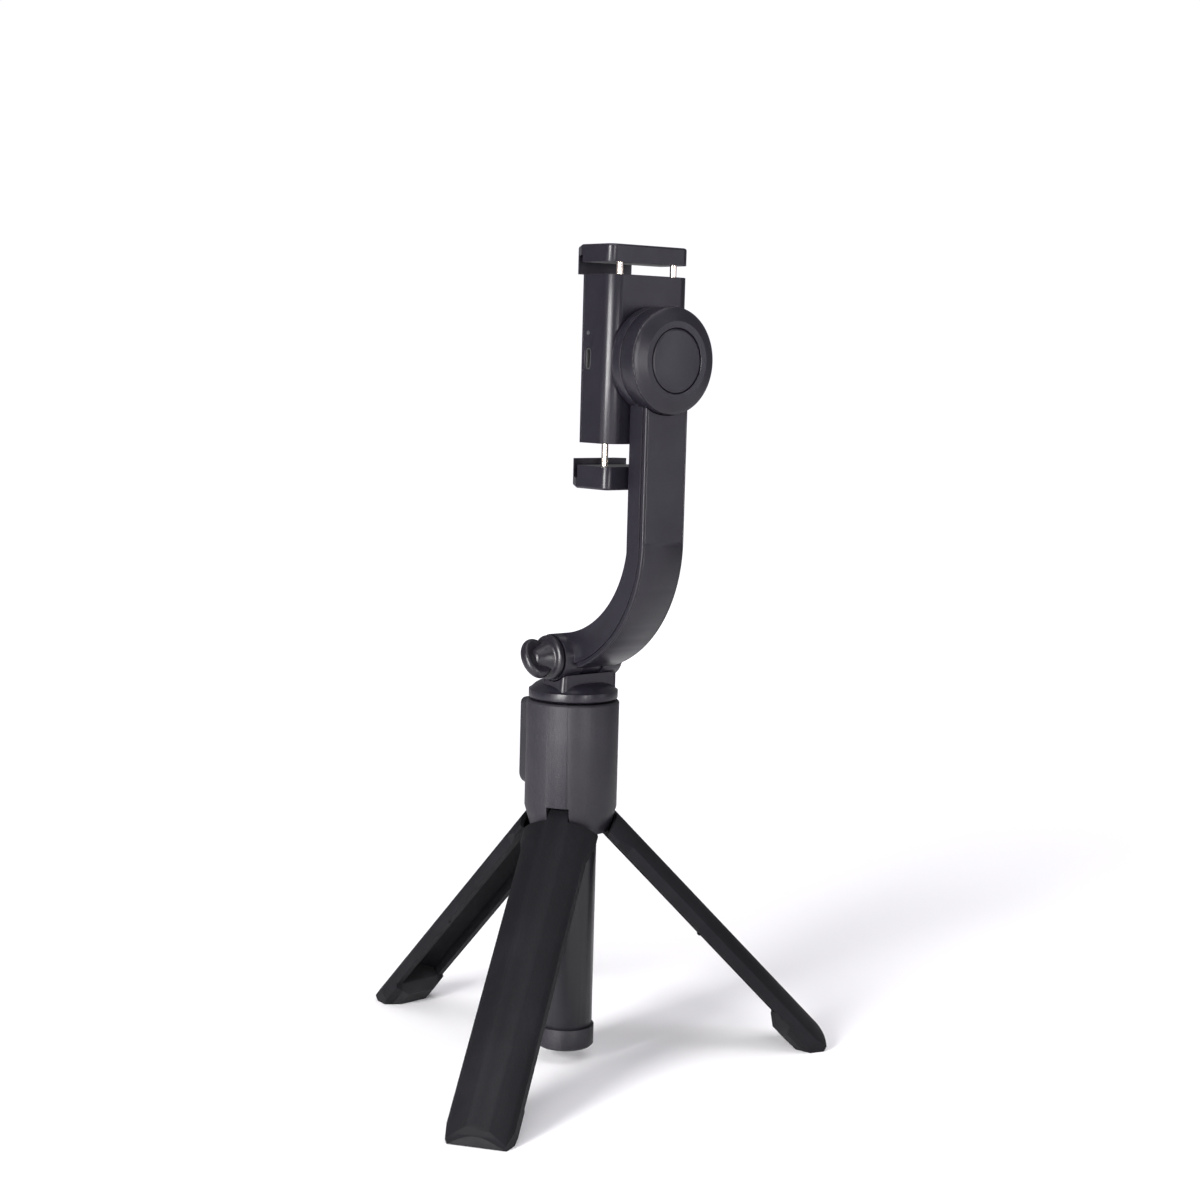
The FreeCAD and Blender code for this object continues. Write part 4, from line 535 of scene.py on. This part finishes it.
def make_materials():
    """One finished material for each of the record's slots, and the arm cover's own."""
    cross = (1.0, 0.02, 1.0)
    head = ((0.0070, 0.0060, 0.0100), 0.34, 3600.0, 0.000016, 0.08)
    return {
        "grip_plastic": seamed_grip("grained_grip", (0.0110, 0.0098, 0.0140), 0.50, 1900.0, 0.00007, 0.05),
        "leg_plastic": plastic("grained_legs", (0.0042, 0.0039, 0.0054), 0.66, 2300.0, 0.00005, 0.06,
                               dust=0.0, rubs=0.3, specular=0.14),
        "head_plastic": plastic("satin_head", *head),
        "arm_cover": rimmed_cover("rimmed_cover", *head),
        "knob_plastic": plastic("satin_knob", (0.0075, 0.0067, 0.0098), 0.33, 4200.0, 0.000015, 0.08),
        "button_plastic": plastic("satin_buttons", (0.016, 0.0155, 0.0185), 0.42, 4200.0, 0.000015, 0.08),
        "remote_plastic": plastic("grained_remote", (0.0105, 0.0100, 0.0128), 0.48, 2600.0, 0.00004, 0.06),
        "inner_plastic": plastic("plain_bushes", (0.045, 0.045, 0.047), 0.45, 5000.0, 0.00001, 0.05),
        "battery_wrap": plastic("shrink_wrap", (0.03, 0.06, 0.14), 0.28, 900.0, 0.00002, 0.05),
        "circuit_board": plastic("solder_resist", (0.012, 0.075, 0.035), 0.30, 1400.0, 0.00001, 0.05),
        "light_lens": plastic("light_pipe", (0.035, 0.035, 0.040), 0.22, 5000.0, 0.000004, 0.05, dust=0.0),
        "foot_rubber": rubber("foot_rubber", (0.0070, 0.0068, 0.0080)),
        "pad_rubber": rubber("pad_rubber", (0.0100, 0.0098, 0.0115), 0.7),
        "washer_rubber": rubber("fibre_washer", (0.03, 0.027, 0.024), 0.85),
        "tube_paint": plastic("anodised_tube", (0.0085, 0.0080, 0.0105), 0.36, 6000.0, 0.000008, 0.06),
        "pole_steel": metal("pole_steel", (0.56, 0.56, 0.57), 0.26),
        "rod_steel": metal("rod_steel", (0.88, 0.78, 0.70), 0.14, tarnish=0.15),
        "fastener_steel": metal("fastener_steel", (0.42, 0.42, 0.43), 0.34, (1.0, 1.0, 1.0)),
        "spring_steel": metal("spring_steel", (0.46, 0.46, 0.47), 0.30, (1.0, 1.0, 1.0)),
        "rotor_steel": metal("rotor_steel", (0.40, 0.40, 0.41), 0.34, cross),
        "magnet": metal("nickel_magnets", (0.66, 0.65, 0.62), 0.22, cross),
        "lamination": metal("laminations", (0.22, 0.22, 0.23), 0.42, (0.05, 1.0, 0.05)),
        "copper": metal("enamelled_copper", (0.78, 0.36, 0.18), 0.30, (1.0, 0.3, 1.0), 6000.0),
        "socket_steel": metal("socket_steel", (0.30, 0.30, 0.31), 0.30, (0.05, 1.0, 1.0)),
        "cell_steel": metal("cell_steel", (0.70, 0.70, 0.71), 0.20, cross),
    }


def slots_of_nodes():
    """The record's material slot of every CAD node."""
    return {row["node"]: row["material_slot"] for row in frame["record"]["subparts"]}


EDGE_BREAK = {"grip_plastic": 0.35, "leg_plastic": 0.30, "head_plastic": 0.28, "remote_plastic": 0.20,
              "tube_paint": 0.15, "foot_rubber": 0.20, "pad_rubber": 0.15, "button_plastic": 0.12}
WIDER_BREAK = {"arm_cover": 0.5, "motor_cover": 0.35}
SHARP = math.radians(28)


def finish_nodes(materials):
    """Give each CAD node its material, and break the sharp edges of the moulded ones."""
    for node, slot in slots_of_nodes().items():
        piece = frame["nodes"][node]
        piece.data.materials.clear()
        piece.data.materials.append(materials.get(node, materials[slot]))
        if slot in EDGE_BREAK:
            weld = piece.modifiers.new("weld", "WELD")
            weld.merge_threshold = 0.002 * MM
            soft = piece.modifiers.new("edge_break", "BEVEL")
            soft.width = WIDER_BREAK.get(node, EDGE_BREAK[slot]) * MM
            soft.segments = 2
            soft.limit_method = "ANGLE"
            soft.angle_limit = SHARP
            soft.use_clamp_overlap = True
            soft.harden_normals = True


# --------------------------------------------------------------------------- tilt knob
TIP = 0.1                         # radius at which a turned profile is shut
HUB_BREAK = 0.35
KNOB_TURN = 32.0
COLLAR = 8.2
PADDLE_HALF = (5.9, 7.7)
PADDLE_THICK = 4.2
DISH = 1.15
DISH_SHARE = 0.78
RIM_SHARE = 0.22


def knob_frame():
    """Origin on the tilt axis at the knob's inner face, and its axis, long side and face."""
    low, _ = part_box("thumb_knob")
    turn = math.radians(KNOB_TURN)
    along = np.array((1.0, 0.0, 0.0))
    up = np.array((0.0, -math.sin(turn), math.cos(turn)))
    face = np.cross(up, along)
    return np.array((low.x, HINGE[1], HINGE[2])), along, up, face


def make_knob_hub(material):
    """Turned collar, waist and neck of the knob, with every corner softened."""
    origin, along, up, _ = knob_frame()
    profile = [(0, TIP), (0, COLLAR - 0.5), (0.5, COLLAR), (1.9, COLLAR), (2.5, COLLAR - 0.9), (2.7, 6.3),
               (3.1, 5.7), (5.6, 4.7), (8.3, 3.2), (8.9, 2.4), (9.1, TIP)]
    rows = softened(profile, HUB_BREAK) * MM
    hub = spun("knob_hub", rows, origin, along, up)
    hub.data.materials.append(material)
    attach(hub, "knob")
    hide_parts("thumb_knob")


def make_knob_paddle(material):
    """Oval thumb paddle, dished on both faces.

    u goes round the oval (half axes PADDLE_HALF) and v from the middle of one face over the
    rim to the middle of the other.  With r the share of the oval's radius, half the
    thickness is T/2 - DISH * (1 - (r / DISH_SHARE)^2)^2 inside the rim and a quarter ellipse on it.
    """
    origin, along, up, face = knob_frame()
    _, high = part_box("thumb_knob")
    centre = origin + along * (high.x - origin[0] - PADDLE_HALF[0] * MM)
    turn = np.linspace(0, 2 * math.pi, COLUMNS + 1)[:-1]
    rim = DISH_SHARE + RIM_SHARE * np.sin(np.linspace(0, math.pi / 2, 12)[1:])
    flat = np.concatenate((np.linspace(0.02, DISH_SHARE, 22), rim))
    inside = np.clip(1 - (flat / DISH_SHARE) ** 2, 0, 1) ** 2
    on_rim = np.clip((flat - DISH_SHARE) / RIM_SHARE, 0, 1)
    half = (PADDLE_THICK / 2) * np.sqrt(np.clip(1 - on_rim ** 2, 0, 1)) - DISH * inside
    share = np.concatenate((flat, flat[-2::-1]))
    lift = np.concatenate((half, -half[-2::-1]))
    oval = np.cos(turn)[:, None] * PADDLE_HALF[0] * along + np.sin(turn)[:, None] * PADDLE_HALF[1] * up
    rows = centre + (share[:, None, None] * oval[None] + lift[:, None, None] * face) * MM
    paddle = outward(grid_mesh("knob_paddle", rows, cap_high=True))
    paddle.data.materials.append(material)
    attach(paddle, "knob")


# --------------------------------------------------------------------------- motor cap
SPIGOT = 4.9
DISC_BREAK = 0.12


def make_motor_disc(material):
    """Turned cap of the motor: flat face with a softened edge, in the place of the CAD cap."""
    low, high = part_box("motor_cap")
    thick = (high.y - low.y) / MM
    radius = (high.x - low.x) / MM / 2
    profile = [(0, TIP), (0, SPIGOT), (thick - 1.1, SPIGOT), (thick - 1.1, radius), (thick - 0.45, radius),
               (thick - 0.1, radius - 0.6), (thick, TIP)]
    centre = np.array(((low.x + high.x) / 2, low.y, (low.z + high.z) / 2))
    rows = softened(profile, DISC_BREAK) * MM
    disc = spun("motor_disc", rows, centre, np.array((0.0, 1.0, 0.0)), np.array((0.0, 0.0, 1.0)))
    disc.data.materials.append(material)
    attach(disc, "arm")
    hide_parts("motor_cap")


# --------------------------------------------------------------------------- small parts of the legs
CATCH_DOWN = 66.0                 # from the leg's pivot to the catch
CATCH_ACROSS = 11.3
CATCH_IN = 4.2
CATCH_HALF = (1.0, 0.6, 0.7)


def make_leg_catches(material):
    """A small round catch on one edge of each leg, half way down its inner side.

    Each is an ellipsoid: a point is centre + cos a sin b * p + sin a sin b * q + cos b * r.
    """
    for number in (1, 2, 3):
        name = f"leg_{number}"
        pivot = np.array(joint(f"{name}_fold")["pos_m"])
        outwards = np.array((pivot[0], pivot[1], 0.0)) / np.linalg.norm(pivot[:2])
        spread = math.radians(joint(f"{name}_fold")["range_deg"][1])
        down = outwards * math.sin(spread) - np.array((0, 0, 1.0)) * math.cos(spread)
        inwards = -outwards * math.cos(spread) - np.array((0, 0, 1.0)) * math.sin(spread)
        across = np.cross(down, inwards)
        centre = pivot + (down * CATCH_DOWN + across * CATCH_ACROSS + inwards * CATCH_IN) * MM
        a, b = np.meshgrid(np.linspace(0, 2 * math.pi, 33)[:-1], np.linspace(0.05, math.pi - 0.05, 17))
        rows = centre + MM * (
            (np.cos(a) * np.sin(b) * CATCH_HALF[0])[..., None] * down
            + (np.sin(a) * np.sin(b) * CATCH_HALF[1])[..., None] * across
            + (np.cos(b) * CATCH_HALF[2])[..., None] * inwards
        )
        catch = outward(grid_mesh(f"{name}_catch", rows, cap_high=True))
        catch.data.materials.append(material)
        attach(catch, name)


# --------------------------------------------------------------------------- everything
def main():
    """Camera, light, floor, finishes and the pieces made here."""
    make_camera()
    make_lights()
    make_floor()
    materials = make_materials()
    finish_nodes(materials)
    make_knob_hub(materials["knob_plastic"])
    make_knob_paddle(materials["knob_plastic"])
    make_motor_disc(materials["head_plastic"])
    make_leg_catches(materials["leg_plastic"])


main()
